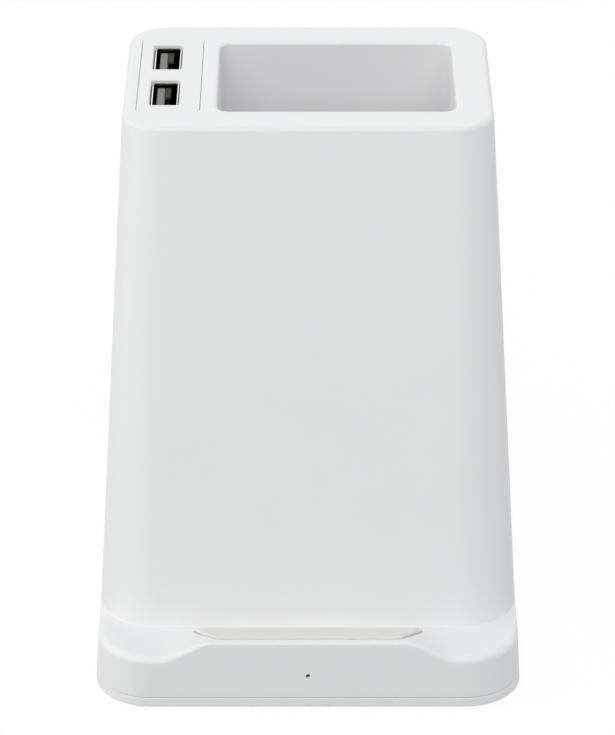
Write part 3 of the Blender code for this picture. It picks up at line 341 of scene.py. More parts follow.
def makeFinish(name, values):
    # the colour wanders slowly between two tints, and a fine grain moves both the bump and the roughness
    material = bpy.data.materials.new(name)
    material.use_nodes = True
    tree = material.node_tree
    shader = fill(tree.nodes["Principled BSDF"], Metallic=values.get("metal", 0.0), IOR=texture["ior"],
                  Specular_IOR_Level=values.get("specular", texture["specular"]),
                  Transmission_Weight=values.get("clear", 0.0))
    place = node(tree, "ShaderNodeTexCoord")
    slow = node(tree, "ShaderNodeTexNoise", Scale=texture["slowScale"] / values["grain"],
                Detail=texture["slowDetail"], Roughness=texture["slowRough"])
    fine = node(tree, "ShaderNodeTexNoise", Scale=1.0 / values["grain"],
                Detail=texture["fineDetail"], Roughness=texture["fineRough"])
    spread = values["mottle"]
    tint = node(tree, "ShaderNodeMix", data_type="RGBA", A=(*[c * (1 - spread) for c in values["colour"]], 1),
                B=(*[min(1, c * (1 + spread)) for c in values["colour"]], 1))
    gloss = node(tree, "ShaderNodeMapRange", To_Min=values["rough"] - texture["glossFall"],
                 To_Max=values["rough"] + texture["glossRise"])
    bump = node(tree, "ShaderNodeBump", Strength=1.0, Distance=values["depth"])
    join(tree, [(place, "Object", slow, "Vector"), (place, "Object", fine, "Vector"),
                (slow, "Fac", tint, "Factor"), (fine, "Fac", gloss, "Value"), (fine, "Fac", bump, "Height"),
                (gloss, "Result", shader, "Roughness"), (bump, "Normal", shader, "Normal")])
    if "inside" in values:
        # the attribute marks where painted shade goes: there the colour turns to the near black given for it,
        # which stands in for the shade inside the sockets
        shadeMask = node(tree, "ShaderNodeAttribute", attribute_name="inside")
        blend = node(tree, "ShaderNodeMix", data_type="RGBA", B=(*values["inside"], 1))
        join(tree, [(shadeMask, "Fac", blend, "Factor"), (tint, "Result", blend, "A")])
        tint = blend
    join(tree, [(tint, "Result", shader, "Base Color")])
    return material


materials = {name: makeFinish(name, values) for name, values in finishes.items()}
print("finishes made:", len(materials))


def dress(piece, nodes, slot, finish=None):
    # smooth shading with crisp corners, the slot's finish, and the CAD nodes that it stands for
    mesh = piece.data
    mesh.materials.clear()
    mesh.materials.append(materials[finish or slot])
    mesh.shade_smooth()
    mesh.set_sharp_from_angle(angle=math.radians(texture["sharpAngle"]))
    weighted = piece.modifiers.new("weighted", "WEIGHTED_NORMAL")
    weighted.keep_sharp = True
    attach(piece, "root")
    if nodes:
        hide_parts(*nodes)


# The moulded body

def halfWidth(z):
    # half the width at a height: the base's half less the draft's share of the rise
    return halfBase - (z - baseZ) * draft


def backY(z):
    # the back wall leans in by the draft
    return backBase - (z - baseZ) * draft


def frontY(z):
    # the tower's front leans back from the ledge
    return ledgeBack + (z - ledgeZ) * lean


def cornerRadius(z):
    # one radius up to the ledge, then evenly tighter to the top
    rise = max(0, z - ledgeZ) / (topZ - ledgeZ)
    return body["baseCorner"] + (body["topCorner"] - body["baseCorner"]) * rise


def smoothStep(share):
    # eases a share s from 0 to 1: 3 s squared less 2 s cubed
    share = np.clip(share, 0, 1)
    return share * share * (3 - 2 * share)


lipEnd = halfWidth(ledgeZ) - body["baseCorner"] - body["lipEndGap"]


def lipShare(x):
    # 1 along the lip, falling to 0 over the slope at each end
    return smoothStep((lipEnd - np.abs(x)) / body["lipSlopeRun"])


def frontShares():
    # evenly spaced places on the lip's slopes and between them, as shares of the front edge's half length
    reach = halfWidth(ledgeZ) - body["baseCorner"]
    slope = (lipEnd - body["lipSlopeRun"] * np.linspace(0, 1, steps["slope"] + 1)) / reach
    flat = np.linspace(-slope[-1], slope[-1], steps["flat"] + 2)[1:-1]
    return np.concatenate([-slope, flat, slope[::-1]])


cornerTurn = np.linspace(0, math.pi / 2, steps["corner"] + 1)
towerTurn = np.linspace(0, math.pi / 2, steps["corner"] + steps["side"] + 1)
sideShares = np.arange(1, steps["side"] + 1) / steps["side"]


def directions(front, right, left):
    # (cos, sin) of the outward angle at each station, given for the front right and front left quarters
    straight = np.full(len(front), -math.pi / 2)
    angle = np.concatenate([straight, right, cornerTurn, cornerTurn + math.pi / 2, left])
    return columns(np.cos(angle), np.sin(angle))


straightSide = np.zeros(steps["side"])
baseNormals = directions(frontShares(), np.concatenate([cornerTurn - math.pi / 2, straightSide]),
                         np.concatenate([straightSide + math.pi, cornerTurn + math.pi]))
towerNormals = directions(frontShares(), towerTurn - math.pi / 2, towerTurn + math.pi)


def outline(halfX, yFront, yBack, radius, quarter):
    # rounded rectangle: the front edge, its right quarter, two plain rear corners and the quarter mirrored
    inner, front = halfX - radius, frontShares()
    edge = columns(front * inner, yFront)
    right = arc(inner, yBack - radius, radius, cornerTurn)
    left = arc(-inner, yBack - radius, radius, cornerTurn + math.pi / 2)
    return np.concatenate([edge, quarter, right, left, quarter[::-1] * (-1, 1)])


def towerRing(z, inset=0.0):
    # the tower's outline at a height, with every wall moved in square to itself by inset
    side = inset / math.cos(body["sideDraft"])
    yFront = frontY(z) + inset / math.cos(body["frontLean"])
    halfX, radius = halfWidth(z) - side, cornerRadius(z) - inset
    quarter = arc(halfX - radius, yFront + radius, radius, towerTurn - math.pi / 2)
    return outline(halfX, yFront, backY(z) - side, radius, quarter)


def baseRing(z, inset=0.0):
    # the base's outline; the points along its sides run back to the tower's corner
    side = inset / math.cos(body["sideDraft"])
    halfX, radius = halfWidth(z) - side, body["baseCorner"] - inset
    start = frontBase + inset + radius
    end = frontY(ledgeZ - inset) + inset / math.cos(body["frontLean"]) + radius
    straight = columns(halfX, start + (end - start) * sideShares)
    quarter = np.concatenate([arc(halfX - radius, start, radius, cornerTurn - math.pi / 2), straight])
    return outline(halfX, frontBase + inset, backY(z) - side, radius, quarter)


def edgeRing(z, inward, rise):
    # the base's outline at a height, drawn in along its normals and moved up
    return atHeight(baseRing(z) - baseNormals * inward, z + rise)


def rimShares():
    # 1 round the base's front, falling to 0 along its sides with the square of the share left
    front = np.ones(len(frontShares()) + len(cornerTurn))
    fade = (1 - sideShares) ** 2
    return np.concatenate([front, fade, np.zeros(2 * len(cornerTurn)), fade[::-1], np.ones(len(cornerTurn))])


def filletRings(edge, normals, z, tilt, fall, radius):
    # arc from a wall that tilts inwards to a face that falls inwards: its heading turns evenly between them
    turn = math.pi / 2 + fall - tilt
    tangent = radius * np.tan(turn / 2)
    rings = []
    for share in filletShares:
        heading = tilt + turn * share
        inward = radius * (np.cos(tilt) - np.cos(heading)) - tangent * np.sin(tilt)
        rise = radius * (np.sin(heading) - np.sin(tilt)) - tangent * np.cos(tilt)
        rings.append(atHeight(edge - normals * inward[:, None], z + rise))
    return rings


def towerTilt():
    # the wall's angle at each station: slopes shared out by its normal, less the corner's tightening
    slope = np.where(towerNormals[:, 1] < 0, lean, draft)
    tighten = (body["baseCorner"] - body["topCorner"]) / (topZ - ledgeZ)
    across, along = np.abs(towerNormals).T
    return np.arctan(across * draft + along * slope - (across + along - 1) * tighten)


def lipRise(ring):
    # height of the lip over the ledge's ends, at the stations of the straight front edge
    straight = np.arange(len(ring)) < len(frontShares())
    return np.where(straight, lipShare(ring[:, 0]), 0) * body["lipRise"]


def rimRings():
    # fillet along the base's rim, smaller on the lip than at the ledge's ends
    edge = baseRing(ledgeZ)
    rise = lipRise(edge)
    tilt = np.arctan(np.abs(baseNormals[:, 0]) * draft)
    fall = np.arctan(rise / body["ledgeDepth"])
    radius = body["rimFillet"] + (body["lipFillet"] - body["rimFillet"]) * rise / body["lipRise"]
    return filletRings(edge, baseNormals, ledgeZ + rise, tilt, fall, radius * rimShares())


def creaseRings():
    # hollow arc from the ledge to the leaning face; its radius fades with the square of the normal's Y
    base = towerRing(ledgeZ)
    rise = lipRise(base)
    fall = np.arctan(rise / body["ledgeDepth"])
    turn = math.pi / 2 + fall - towerTilt()
    radius = body["creaseFillet"] + (body["lipCrease"] - body["creaseFillet"]) * rise / body["lipRise"]
    radius = radius * np.minimum(towerNormals[:, 1], 0) ** 2
    tangent = radius * np.tan(turn / 2)
    rings = []
    for share in filletShares:
        heading = math.pi / 2 + fall - turn * share
        outward = tangent * np.cos(fall) - radius * (np.sin(fall) + np.cos(heading))
        height = tangent * np.sin(fall) + radius * (np.cos(fall) - np.sin(heading))
        rings.append(atHeight(base + towerNormals * outward[:, None], ledgeZ + height))
    return rings


def bodyRings():
    # every ring of the outer skin, from the edge at the seam up to the flat top
    edge = body["seamRound"]
    start = [edgeRing(housingLow.z, edge * down, edge * across) for across, down in edgeRound]
    rim, crease = rimRings(), creaseRings()
    shares = np.linspace(0, 1, steps["ledge"] + 2)[1:-1]
    between = [rim[-1] + (crease[0] - rim[-1]) * share for share in shares]
    tilt = towerTilt()
    top = filletRings(towerRing(topZ), towerNormals, topZ, tilt, 0 * tilt, body["topFillet"])
    return np.array(start + rim + between + crease + top)


def cavityRings():
    # the hollow inside, one wall thickness in: the base, its ceiling under the ledge, then the tower
    wall = body["wall"]
    low, under, roof = housingLow.z - body["overrun"], ledgeZ - wall, topZ - wall
    ceiling = baseRing(under, wall)
    return np.array([atHeight(baseRing(low, wall), low), atHeight(ceiling, under + lipRise(ceiling)),
                     atHeight(towerRing(under, wall), under), atHeight(towerRing(roof, wall), roof)])


well = {"rightMargin": 0.00785, "frontMargin": 0.0091, "rearMargin": 0.0096, "floorHeight": 0.0275,
        "panelGap": 0.0038, "corner": 0.0026, "draft": math.radians(0.5), "wall": 0.0018,
        "mouthFillet": 0.0007, "floorFillet": 0.001}
panel = {"length": 0.0397, "corner": 0.0008, "seam": 0.00025, "edge": 0.00006, "endEdge": 0.1,
         "sideGap": 0.00011, "endGap": 0.00001, "tabReach": 0.003, "tabWidth": 0.0075,
         "tabThickness": 0.0015, "postRadius": 0.0024, "pilotRadius": 0.0012, "pilotDepth": 0.0045}
panelLow, panelHigh, panelX, panelY = spot("usb_panel")
panelHalf = (panelHigh.x - panelLow.x) / 2
wellLeft, wellRight = panelHigh.x + well["panelGap"], halfWidth(topZ) - well["rightMargin"]
wellFront, wellBack = frontY(topZ) + well["frontMargin"], backY(topZ) - well["rearMargin"]
wellFloor = baseZ + well["floorHeight"]


def wellLoop(z, grow):
    # the well's rounded rectangle at a height, narrower with depth by its draft and grown on every side
    extra = grow - (topZ - z) * math.tan(well["draft"])
    return rounded((wellLeft + wellRight) / 2, (wellFront + wellBack) / 2, (wellRight - wellLeft) / 2 + extra,
                   (wellBack - wellFront) / 2 + extra, well["corner"] + grow, steps["corner"])


def wellSurface(name, rings):
    # a surface through the well's outline at (height, growth) rows
    return surface(name, np.array([atHeight(wellLoop(z, grow), z) for z, grow in rings]))


def wellSpace():
    # cutter for the well, with a hollow fillet round its floor and a rounded mouth
    low, mouth = well["floorFillet"], well["mouthFillet"]
    rings = [(wellFloor + low * down, -low * across) for across, down in filletRound[::-1]]
    rings += [(topZ - mouth * down, mouth * across) for across, down in filletRound]
    return wellSurface("wellSpace", rings + [(topZ + body["overrun"], mouth)])


def wellCup():
    # the well's outside, one wall thickness larger
    wall = well["wall"]
    return wellSurface("wellCup", [(wellFloor - wall, wall), (topZ - body["wall"] / 2, wall)])


pad = {"setback": 0.0027, "length": 0.0081, "rearWidth": 0.0488, "frontWidth": 0.039, "corner": 0.0008,
       "recess": 0.0006, "proud": 0.0004, "edge": 0.00022}
ledgeTilt = math.atan(body["lipRise"] / body["ledgeDepth"])


def padLoop(grow):
    # trapezium, longer side at the leaning face, with a parabola at each corner, as (x, along) points
    rear, front = pad["rearWidth"] / 2, pad["frontWidth"] / 2
    start, end = pad["setback"], pad["setback"] + pad["length"]
    corners = np.array([(-rear, start), (rear, start), (front, end), (-front, end)])
    share = np.linspace(0, 1, steps["pad"])[:, None]
    rows = []
    for index, corner in enumerate(corners):
        before, after = corners[index - 1] - corner, corners[(index + 1) % len(corners)] - corner
        before, after = before / np.linalg.norm(before), after / np.linalg.norm(after)
        rows.append(corner + before * pad["corner"] * (1 - share) ** 2 + after * pad["corner"] * share ** 2)
    loop = np.concatenate(rows)
    ahead = np.roll(loop, -1, axis=0) - np.roll(loop, 1, axis=0)
    ahead /= np.linalg.norm(ahead, axis=1)[:, None]
    return loop + grow * columns(ahead[:, 1], -ahead[:, 0])


def padRings(profile):
    # the outline on the ledge's tilted middle: (growth, height above the ledge) rows
    rows = []
    for grow, above in profile:
        x, along = padLoop(grow).T
        y = ledgeBack - along * math.cos(ledgeTilt) + above * math.sin(ledgeTilt)
        z = ledgeZ + along * math.sin(ledgeTilt) + above * math.cos(ledgeTilt)
        rows.append(columns(x, y, z))
    return np.array(rows)


inlet = {"roundness": 0.98, "sheet": 0.0003, "edge": 0.0003, "bladeLength": 0.0045, "bladeRoot": 0.001,
         "bladeHalfWidth": 0.00335, "bladeHalfThickness": 0.00035, "bladeCorner": 0.6, "tipRun": 0.0003,
         "tipShare": 0.93, "contacts": 12, "contactPitch": 0.0005, "contactSetback": 0.0009,
         "contactWidth": 0.00026, "contactSheet": 0.00006}
inletLow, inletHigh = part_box("inlet_shell")
inletZ = (inletLow.z + inletHigh.z) / 2
inletHalfWidth, inletHalfThickness = (inletHigh.x - inletLow.x) / 2, (inletHigh.z - inletLow.z) / 2


def slotLoops(profile):
    # the supply socket's outline, with round ends, at (growth, y) rows
    rows = []
    for grow, y in profile:
        half, thick = inletHalfWidth + grow, inletHalfThickness + grow
        x, z = rounded(0, 0, half, thick, thick * inlet["roundness"], steps["slot"]).T
        rows.append(columns(-x, y, inletZ + z))
    return np.array(rows)


def inletHole():
    # cutter for the supply socket's hole, rounded where it meets the back wall
    fit, mouth, back = body["fit"], inlet["edge"], backY(inletZ)
    hole = [(fit, back - 2 * body["wall"])]
    hole += [(fit + mouth * across, back - mouth * down) for across, down in edgeRound]
    hole.append((fit + mouth, back + body["overrun"]))
    return surface("inletHole", slotLoops(hole))


lamp = {"height": 0.0077, "pinhole": 0.0005, "bore": 0.0015, "bossWall": 0.0009, "depth": 0.0018,
        "skin": 0.0008}
boss = {"radius": 0.0036, "height": 0.016, "pilot": 0.0015, "pilotDepth": 0.009}
rib = {"thickness": 0.0015, "spacing": 0.024}
post = {"radius": 0.0026, "pilot": 0.0012, "thickness": 0.0016, "across": 0.016, "along": 0.027875}


def lampRod(name, radius, start, end):
    # cylinder along Y behind the pinhole, between two distances from the base's front
    place = (0, frontBase + end, baseZ + lamp["height"])
    return lathe(name, [(radius, 0), (radius, end - start)], place, math.pi / 2)


def wellRib(side):
    # upright web between the well and the back wall
    x, half = (wellLeft + wellRight) / 2 + side * rib["spacing"] / 2, rib["thickness"] / 2
    front = wellBack + well["wall"] / 2
    rows = []
    for z in (wellFloor, topZ - body["wall"] / 2):
        back = backY(z) - body["wall"] / 2
        rows.append([(x - half, front, z), (x + half, front, z), (x + half, back, z), (x - half, back, z)])
    return surface("rib", np.array(rows))


def carrierRod(name, side, radius, start, over):
    # cylinder square to the leaning wall, from the depth start to a gap short of the coil's carrier
    low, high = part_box("coil_carrier")
    y, z = (low.y + high.y) / 2, (low.z + high.z) / 2
    inward, up = np.array((0, 1, -lean)), np.array((0, lean, 1))
    inward, up = inward / np.linalg.norm(inward), up / np.linalg.norm(up)
    depth = (y - frontY(z)) * math.cos(body["frontLean"])
    end = depth - post["thickness"] / 2 - body["fit"] + over
    place = np.array((side * post["across"], y, z)) - up * side * post["along"] + inward * (start - depth)
    return lathe(name, [(radius, 0), (radius, end - start)], place, -math.pi / 2 - body["frontLean"])


def makeHousing():
    # the hollowed loft, then what is moulded on inside, then every opening and pilot hole
    wall, fit, over, low, seam = body["wall"], body["fit"], body["overrun"], housingLow.z, panel["seam"]
    shell = surface("housingMoulding", bodyRings())
    carve(shell, cuts=[surface("cavity", cavityRings())])
    seats = spots("cover_screw")
    solids = [wellCup(), wellRib(-1), wellRib(1)]
    solids += [rod("boss", boss["radius"], low + fit, baseZ + boss["height"], x, y) for x, y in seats]
    solids.append(lampRod("lampBoss", lamp["bore"] + lamp["bossWall"], wall / 2, wall + fit + lamp["depth"]))
    solids += [carrierRod("carrierPost", side, post["radius"], wall / 2, 0) for side in sides]
    spaces = [
        wellSpace(),
        flared("panelOpening", panelX, panelY, panelHalf + seam, panel["length"] / 2 + seam,
               panel["corner"] + seam, topZ - wall - over, topZ, panel["edge"], ends=panel["endEdge"]),
        lampRod("lampBore", lamp["bore"], lamp["skin"], wall + lamp["depth"] + over),
        lampRod("pinhole", lamp["pinhole"], -over, wall + over),
        surface("padCut", padRings([(fit, -pad["recess"]), (fit, over)])),
        inletHole(),
    ]
    spaces += [rod("pilot", boss["pilot"], low - over, low + boss["pilotDepth"], x, y) for x, y in seats]
    spaces += [carrierRod("carrierPilot", side, post["pilot"], wall, over) for side in sides]
    carve(shell, unions=solids, cuts=spaces)
    dress(shell, ["housing"], "housing_plastic")
    print("housing made:", len(shell.data.polygons), "faces")


makeHousing()


def makePad():
    # the strip stands proud of its recess, with a rounded upper edge
    edge = pad["edge"]
    profile = [(0, body["fit"] - pad["recess"])]
    profile += [(-edge * across, pad["proud"] - edge * down) for across, down in edgeRound]
    dress(surface("ledgePad", padRings(profile)), ["rest_pad"], "silicone")


makePad()
print("pad made")


# Base cover, feet and screws

cover = {"seamHeight": 0.0021, "upstandHeight": 0.0018, "upstandThickness": 0.0014, "counterbore": 0.0016,
         "screwHole": 0.0015, "counterboreRadius": 0.0029, "footRecess": 0.0008, "footRecessRadius": 0.0053}


def makeCover():
    # a plate with an upstand that fits inside the housing, and four posts for the charger's board
    wall, fit, over, edge = body["wall"], body["fit"], body["overrun"], body["seamRound"]
    chamfer = body["coverChamfer"]
    top, rim = baseZ + cover["seamHeight"], housingLow.z - body["seamGap"]
    rings = [edgeRing(baseZ, chamfer * down, chamfer * across) for across, down in edgeRound]
    rings += [edgeRing(rim, edge * across, -edge * down) for across, down in edgeRound]
    plate = surface("bottomPlate", np.array(rings))
    outer, inner = wall + fit, wall + fit + cover["upstandThickness"]
    high = top + cover["upstandHeight"]
    upstand = surface("upstand", np.array([atHeight(baseRing(top, outer), z) for z in (top - chamfer, high)]))
    hollow = surface("hollow", np.array([atHeight(baseRing(top, inner), z) for z in (top, high + over)]))
    seats, bore, bottom = spots("cover_screw"), cover["counterboreRadius"], baseZ - over
    spaces = [hollow]
    spaces += [rod("notch", boss["radius"] + fit, top, high + over, x, y) for x, y in seats]
    spaces += [rod("bore", bore, bottom, baseZ + cover["counterbore"], x, y) for x, y in seats]
    spaces += [rod("hole", cover["screwHole"], baseZ, top + over, x, y) for x, y in seats]
    carve(plate, unions=[upstand], cuts=spaces)
    (boardLow, _), (tip, _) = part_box("charger_board"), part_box("board_screw_1")
    start, seats = baseZ + cover["seamHeight"] / 2, spots("board_screw")
    posts = [rod("boardPost", post["radius"], start, boardLow.z - fit, x, y) for x, y in seats]
    pilots = [rod("boardPilot", post["pilot"], tip.z, boardLow.z + over, x, y) for x, y in seats]
    carve(plate, unions=posts, cuts=pilots)
    recess, depth = cover["footRecessRadius"], baseZ + cover["footRecess"]
    carve(plate, cuts=[rod("recess", recess, bottom, depth, x, y) for x, y in spots("foot")])
    dress(plate, ["base_cover"], "housing_plastic")


makeCover()
print("cover made")

foot = {"round": 0.0007, "topShare": 1 / 3, "dish": 0.00018, "dishShare": 0.72}


def makeFoot(number):
    # a turned disc, more rounded below than above, with a shallow dish in its underside
    low, high, x, y = spot(f"foot_{number}")
    radius, lower, dish = (high.x - low.x) / 2, foot["round"], foot["dish"]
    upper, inner = lower * foot["topShare"], radius * foot["dishShare"]
    profile = [(0, high.z), (radius - upper, high.z), (radius, high.z - upper)]
    profile += [(radius - lower * across, low.z + lower * down) for across, down in filletRound]
    profile += [(inner, low.z), (inner - dish, low.z + dish), (0, low.z + dish)]
    dress(lathe(f"rubberFoot{number}", profile, (x, y, 0)), [f"foot_{number}"], "foot_rubber")


for number in four:
    makeFoot(number)
print("feet made")

screw = {"head": 0.0026, "headHeight": 0.0011, "domePower": 0.5, "shank": 0.001, "thread": 0.00038,
         "pitch": 0.0011, "ringsPerPitch": 10, "ridgeSlope": 4, "taperShanks": 3, "tip": 0.02,
         "slotWidth": 0.00072, "slotLength": 0.003, "slotDepth": 0.0008, "slotCorner": 0.00018}


def threadRings(low, high):
    # shank from the head to its point: the radius rises and falls along a helix and shrinks to the tip
    rows = int((high - low) / screw["pitch"] * screw["ringsPerPitch"])
    z = np.linspace(low, high, rows)[:, None]
    angle = np.linspace(0, 2 * math.pi, steps["round"] // 2, endpoint=False)[None, :]
    phase = ((z - low) / screw["pitch"] - angle / (2 * math.pi)) % 1
    ridge = np.clip(1 - np.abs(phase - 0.5) * screw["ridgeSlope"], 0, 1) * screw["thread"]
    taper = np.clip((high - z) / (screw["taperShanks"] * screw["shank"]), screw["tip"], 1)
    start = smoothStep((z - low) / screw["pitch"])
    r = (screw["shank"] + ridge * start) * taper
    return np.stack([r * np.cos(angle), r * np.sin(angle), z + 0 * angle], axis=-1)


def makeCoverScrew(number):
    # a domed head with a cross cut into it, on a threaded shank
    low, high, x, y = spot(f"cover_screw_{number}")
    seat = low.z + screw["headHeight"]
    rise = np.linspace(0, math.pi / 2, steps["fillet"] + 1)[:-1]
    dome = [(screw["head"] * math.cos(a) ** screw["domePower"], seat - screw["headHeight"] * math.sin(a))
            for a in rise]
    head = lathe("head", [(0, seat)] + dome + [(0, low.z)], (x, y, 0))
    bottom, roof = low.z - body["overrun"], low.z + screw["slotDepth"]
    arm = (screw["slotWidth"] / 2, screw["slotLength"] / 2)
    arms = [roundedPlate("arm", x, y, *half, screw["slotCorner"], bottom, roof) for half in (arm, arm[::-1])]
    carve(head, cuts=arms)
    thread = surface("thread", threadRings(seat - body["seamRound"], high.z) + (x, y, 0))
    dress(merge(f"panHeadScrew{number}", [head, thread]), [f"cover_screw_{number}"], "screw_steel")


for number in four:
    makeCoverScrew(number)
print("screws made")


# Sockets in the top

# the painted shade inside each socket fades in over a run below the mouth, through a few extra rings
socket = {"halfThickness": 0.00285, "halfWidth": 0.00655, "corner": 0.0007, "sheet": 0.0003,
          "holeEdge": 0.0003, "shadeRun": 0.0004, "shadeRings": 3, "springRise": 0.0003,
          "springStart": 0.0024, "springWidth": 0.0022, "springLength": 0.0055, "springPitch": 0.0056,
          "springSheet": 0.8, "springBow": 1.25, "springInset": 0.45}


def makePanel():
    # the insert, its two tabs under the top and its post, with a rounded hole for each socket
    over, seam, corner = body["overrun"], panel["seam"], panel["corner"]
    halfLength = panel["length"] / 2
    under = topZ - body["wall"] - body["fit"] - panel["tabThickness"]
    sideGrow, endGrow = seam - panel["sideGap"], seam - panel["endGap"]
    plate = roundedPlate("socketInsert", panelX, panelY, panelHalf + sideGrow, halfLength + endGrow,
                         corner + sideGrow, under, topZ, panel["edge"], ends=panel["endEdge"])
    tabX, tabHalf = panelHigh.x - corner / 2 - panel["tabWidth"] / 2, (panel["tabWidth"] - corner) / 2
    tabs = roundedPlate("tabs", tabX, panelY, tabHalf, halfLength + panel["tabReach"], corner, under,
                        under + panel["tabThickness"])
    low, x = panelLow.z, spot("usb_shell_front")[2]
    column = rod("column", panel["postRadius"], low, topZ - body["wall"], x, panelY)
    spaces = [rod("pilot", panel["pilotRadius"], low - over, low + panel["pilotDepth"], x, panelY)]
    for side in ("front", "rear"):
        _, _, x, y = spot(f"usb_shell_{side}")
        spaces.append(flared("hole", x, y, socket["halfThickness"] + seam, socket["halfWidth"] + seam,
                             socket["corner"], under - over, topZ, socket["holeEdge"]))
    carve(plate, unions=[tabs, column], cuts=spaces)
    dress(plate, ["usb_panel"], "insert_plastic")


makePanel()
print("insert made")


def paintShadeInside(shell, x, y, high):
    # marks where painted shade goes: the inner faces, shaded more from just under the mouth downwards, and
    # all of the inner end walls
    points = np.empty(3 * len(shell.data.vertices))
    shell.data.vertices.foreach_get("co", points)
    px, py, pz = points.reshape(-1, 3).T
    across, along = np.abs(px - x), np.abs(py - y)
    halfX, halfY, half = socket["halfThickness"], socket["halfWidth"], socket["sheet"] / 2
    inner = (across < halfX - half) & (along < halfY - half)
    ends = (across < halfX - 2 * half) & (along > halfY - 3 * half)
    depth = smoothStep((high - pz - half) / socket["shadeRun"])
    shadeMask = np.maximum(inner * depth, ends)
    shell.data.attributes.new("inside", "FLOAT", "POINT").data.foreach_set("value", shadeMask)


def makeSpring(x, y, high, toward, along):
    # pressed spring of a long wall: its distance inwards is a sine arch that comes back to the wall
    sheet, share = socket["sheet"], np.linspace(0, 1, steps["spring"])
    z = high - socket["springStart"] - socket["springLength"] * share
    arch = np.sin(math.pi * np.clip(share * socket["springBow"], 0, 1))
    inward = socket["springRise"] * arch + sheet * socket["springInset"]
    path = columns(x + toward * (socket["halfThickness"] - sheet / 2 - inward),
                   y + along * socket["springPitch"] / 2, z)
    return carried("spring", path, (0, 1, 0), strip(socket["springWidth"], sheet * socket["springSheet"]))


def makeShell(side):
    # a rolled rectangular tube with two springs in each long wall
    low, high, x, y = spot(f"usb_shell_{side}")
    sheet = socket["sheet"]
    # extra inner rings, at which the painted shade fades in
    levels = high.z - sheet / 2 - np.arange(1, socket["shadeRings"] + 1) * socket["shadeRun"]
    profile = tubeProfile(low.z, high.z, sheet, levels)
    tube = surface("tube", plateLoops(x, y, socket["halfThickness"], socket["halfWidth"], socket["corner"],
                                      profile, steps["fillet"]), wrapAlong=True)
    springs = [makeSpring(x, y, high.z, toward, along) for toward in sides for along in sides]
    shell = merge(f"socketShell{side.title()}", [tube] + springs)
    # painted shade on the inner faces and end walls
    paintShadeInside(shell, x, y, high.z)
    dress(shell, [f"usb_shell_{side}"], "socket_steel")


tongue = {"baseHeight": 0.004, "baseCorner": 0.0003, "baseEdge": 0.00015, "gap": 0.00078,
          "thickness": 0.00172, "width": 0.0111, "corner": 0.0004, "cornerGrowth": 0.5, "chamfer": 0.00035,
          "chamferKnee": (0.35, 0.3), "slotWidth": 0.0013, "slotDepth": 0.0003, "slotCorner": 0.0001,
          "slotStart": 0.0002, "slotOver": 0.0006}
contactRest = {"reach": 0.00125, "length": 0.005, "height": 0.0006, "drop": 0.0001, "corner": 0.0002,
               "edge": 0.00008}
contact = {"width": 0.001, "sheet": 0.00025}


def bladePlace(side):
    # the blade stands a gap away from the shell's left wall
    _, _, x, y = spot(f"usb_shell_{side}")
    return x - socket["halfThickness"] + socket["sheet"] + tongue["gap"] + tongue["thickness"] / 2, y


def makeTongue(side):
    # the socket's base and its blade, chamfered at the tip and slotted for the contacts
    low, high, x, _ = spot(f"usb_tongue_{side}")
    bladeX, y = bladePlace(side)
    halfThick, chamfer, top = tongue["thickness"] / 2, tongue["chamfer"], low.z + tongue["baseHeight"]
    base = roundedPlate(f"socketTongue{side.title()}", x, y, (high.x - low.x) / 2, (high.y - low.y) / 2,
                        tongue["baseCorner"], low.z, top, tongue["baseEdge"])
    kneeIn, kneeDown = tongue["chamferKnee"]
    profile = [(0, low.z + tongue["baseHeight"] / 2), (0, high.z - chamfer),
               (-chamfer * kneeIn, high.z - chamfer * kneeDown), (-chamfer, high.z)]
    blade = surface("blade", loops(lambda g: rounded(bladeX, y, halfThick + g, tongue["width"] / 2 + g,
                                                     tongue["corner"] + g * tongue["cornerGrowth"],
                                                     steps["blade"]), profile))
    slots = []
    for number in four:
        _, tip, _, contactY = spot(f"contact_{side}_{number}")
        slots.append(roundedPlate("slot", bladeX + halfThick, contactY, tongue["slotDepth"],
                                  tongue["slotWidth"] / 2, tongue["slotCorner"], top + tongue["slotStart"],
                                  tip.z + tongue["slotOver"]))
    carve(base, unions=[blade], cuts=slots)
    dress(base, [f"usb_tongue_{side}"], "tongue_plastic")


def makeContactRest(side):
    # the dark rest over the contact tips, along the rear part of the blade's tip
    _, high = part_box(f"usb_tongue_{side}")
    bladeX, y = bladePlace(side)
    left, rear = bladeX + tongue["thickness"] / 2, y + tongue["width"] / 2
    reach, length = contactRest["reach"] / 2, contactRest["length"] / 2
    rest = roundedPlate(f"contactRest{side.title()}", left + reach, rear - length, reach, length,
                        contactRest["corner"], high.z - contactRest["height"], high.z - contactRest["drop"],
                        contactRest["edge"])
    dress(rest, [], "tongue_plastic", finish="contact_rest")


def makeContact(side, number):
    # sprung strip: its distance from the tongue is a squared sine, nothing at both ends
    name, sheet = f"contact_{side}_{number}", contact["sheet"]
    low, high, _, y = spot(name)
    share = np.linspace(0, 1, steps["contact"])
    x = low.x + sheet / 2 + (high.x - low.x - sheet) * np.sin(math.pi * share) ** 2
    path = columns(x, y, low.z + (high.z - low.z) * share)
    piece = carried(f"contact{side.title()}{number}", path, (0, 1, 0), strip(contact["width"], sheet))
    dress(piece, [name], "contact_plating")


for side in ("rear", "front"):
    makeShell(side)
    makeTongue(side)
    makeContactRest(side)
    for number in four:
        makeContact(side, number)
print("sockets made")


# Supply socket in the back

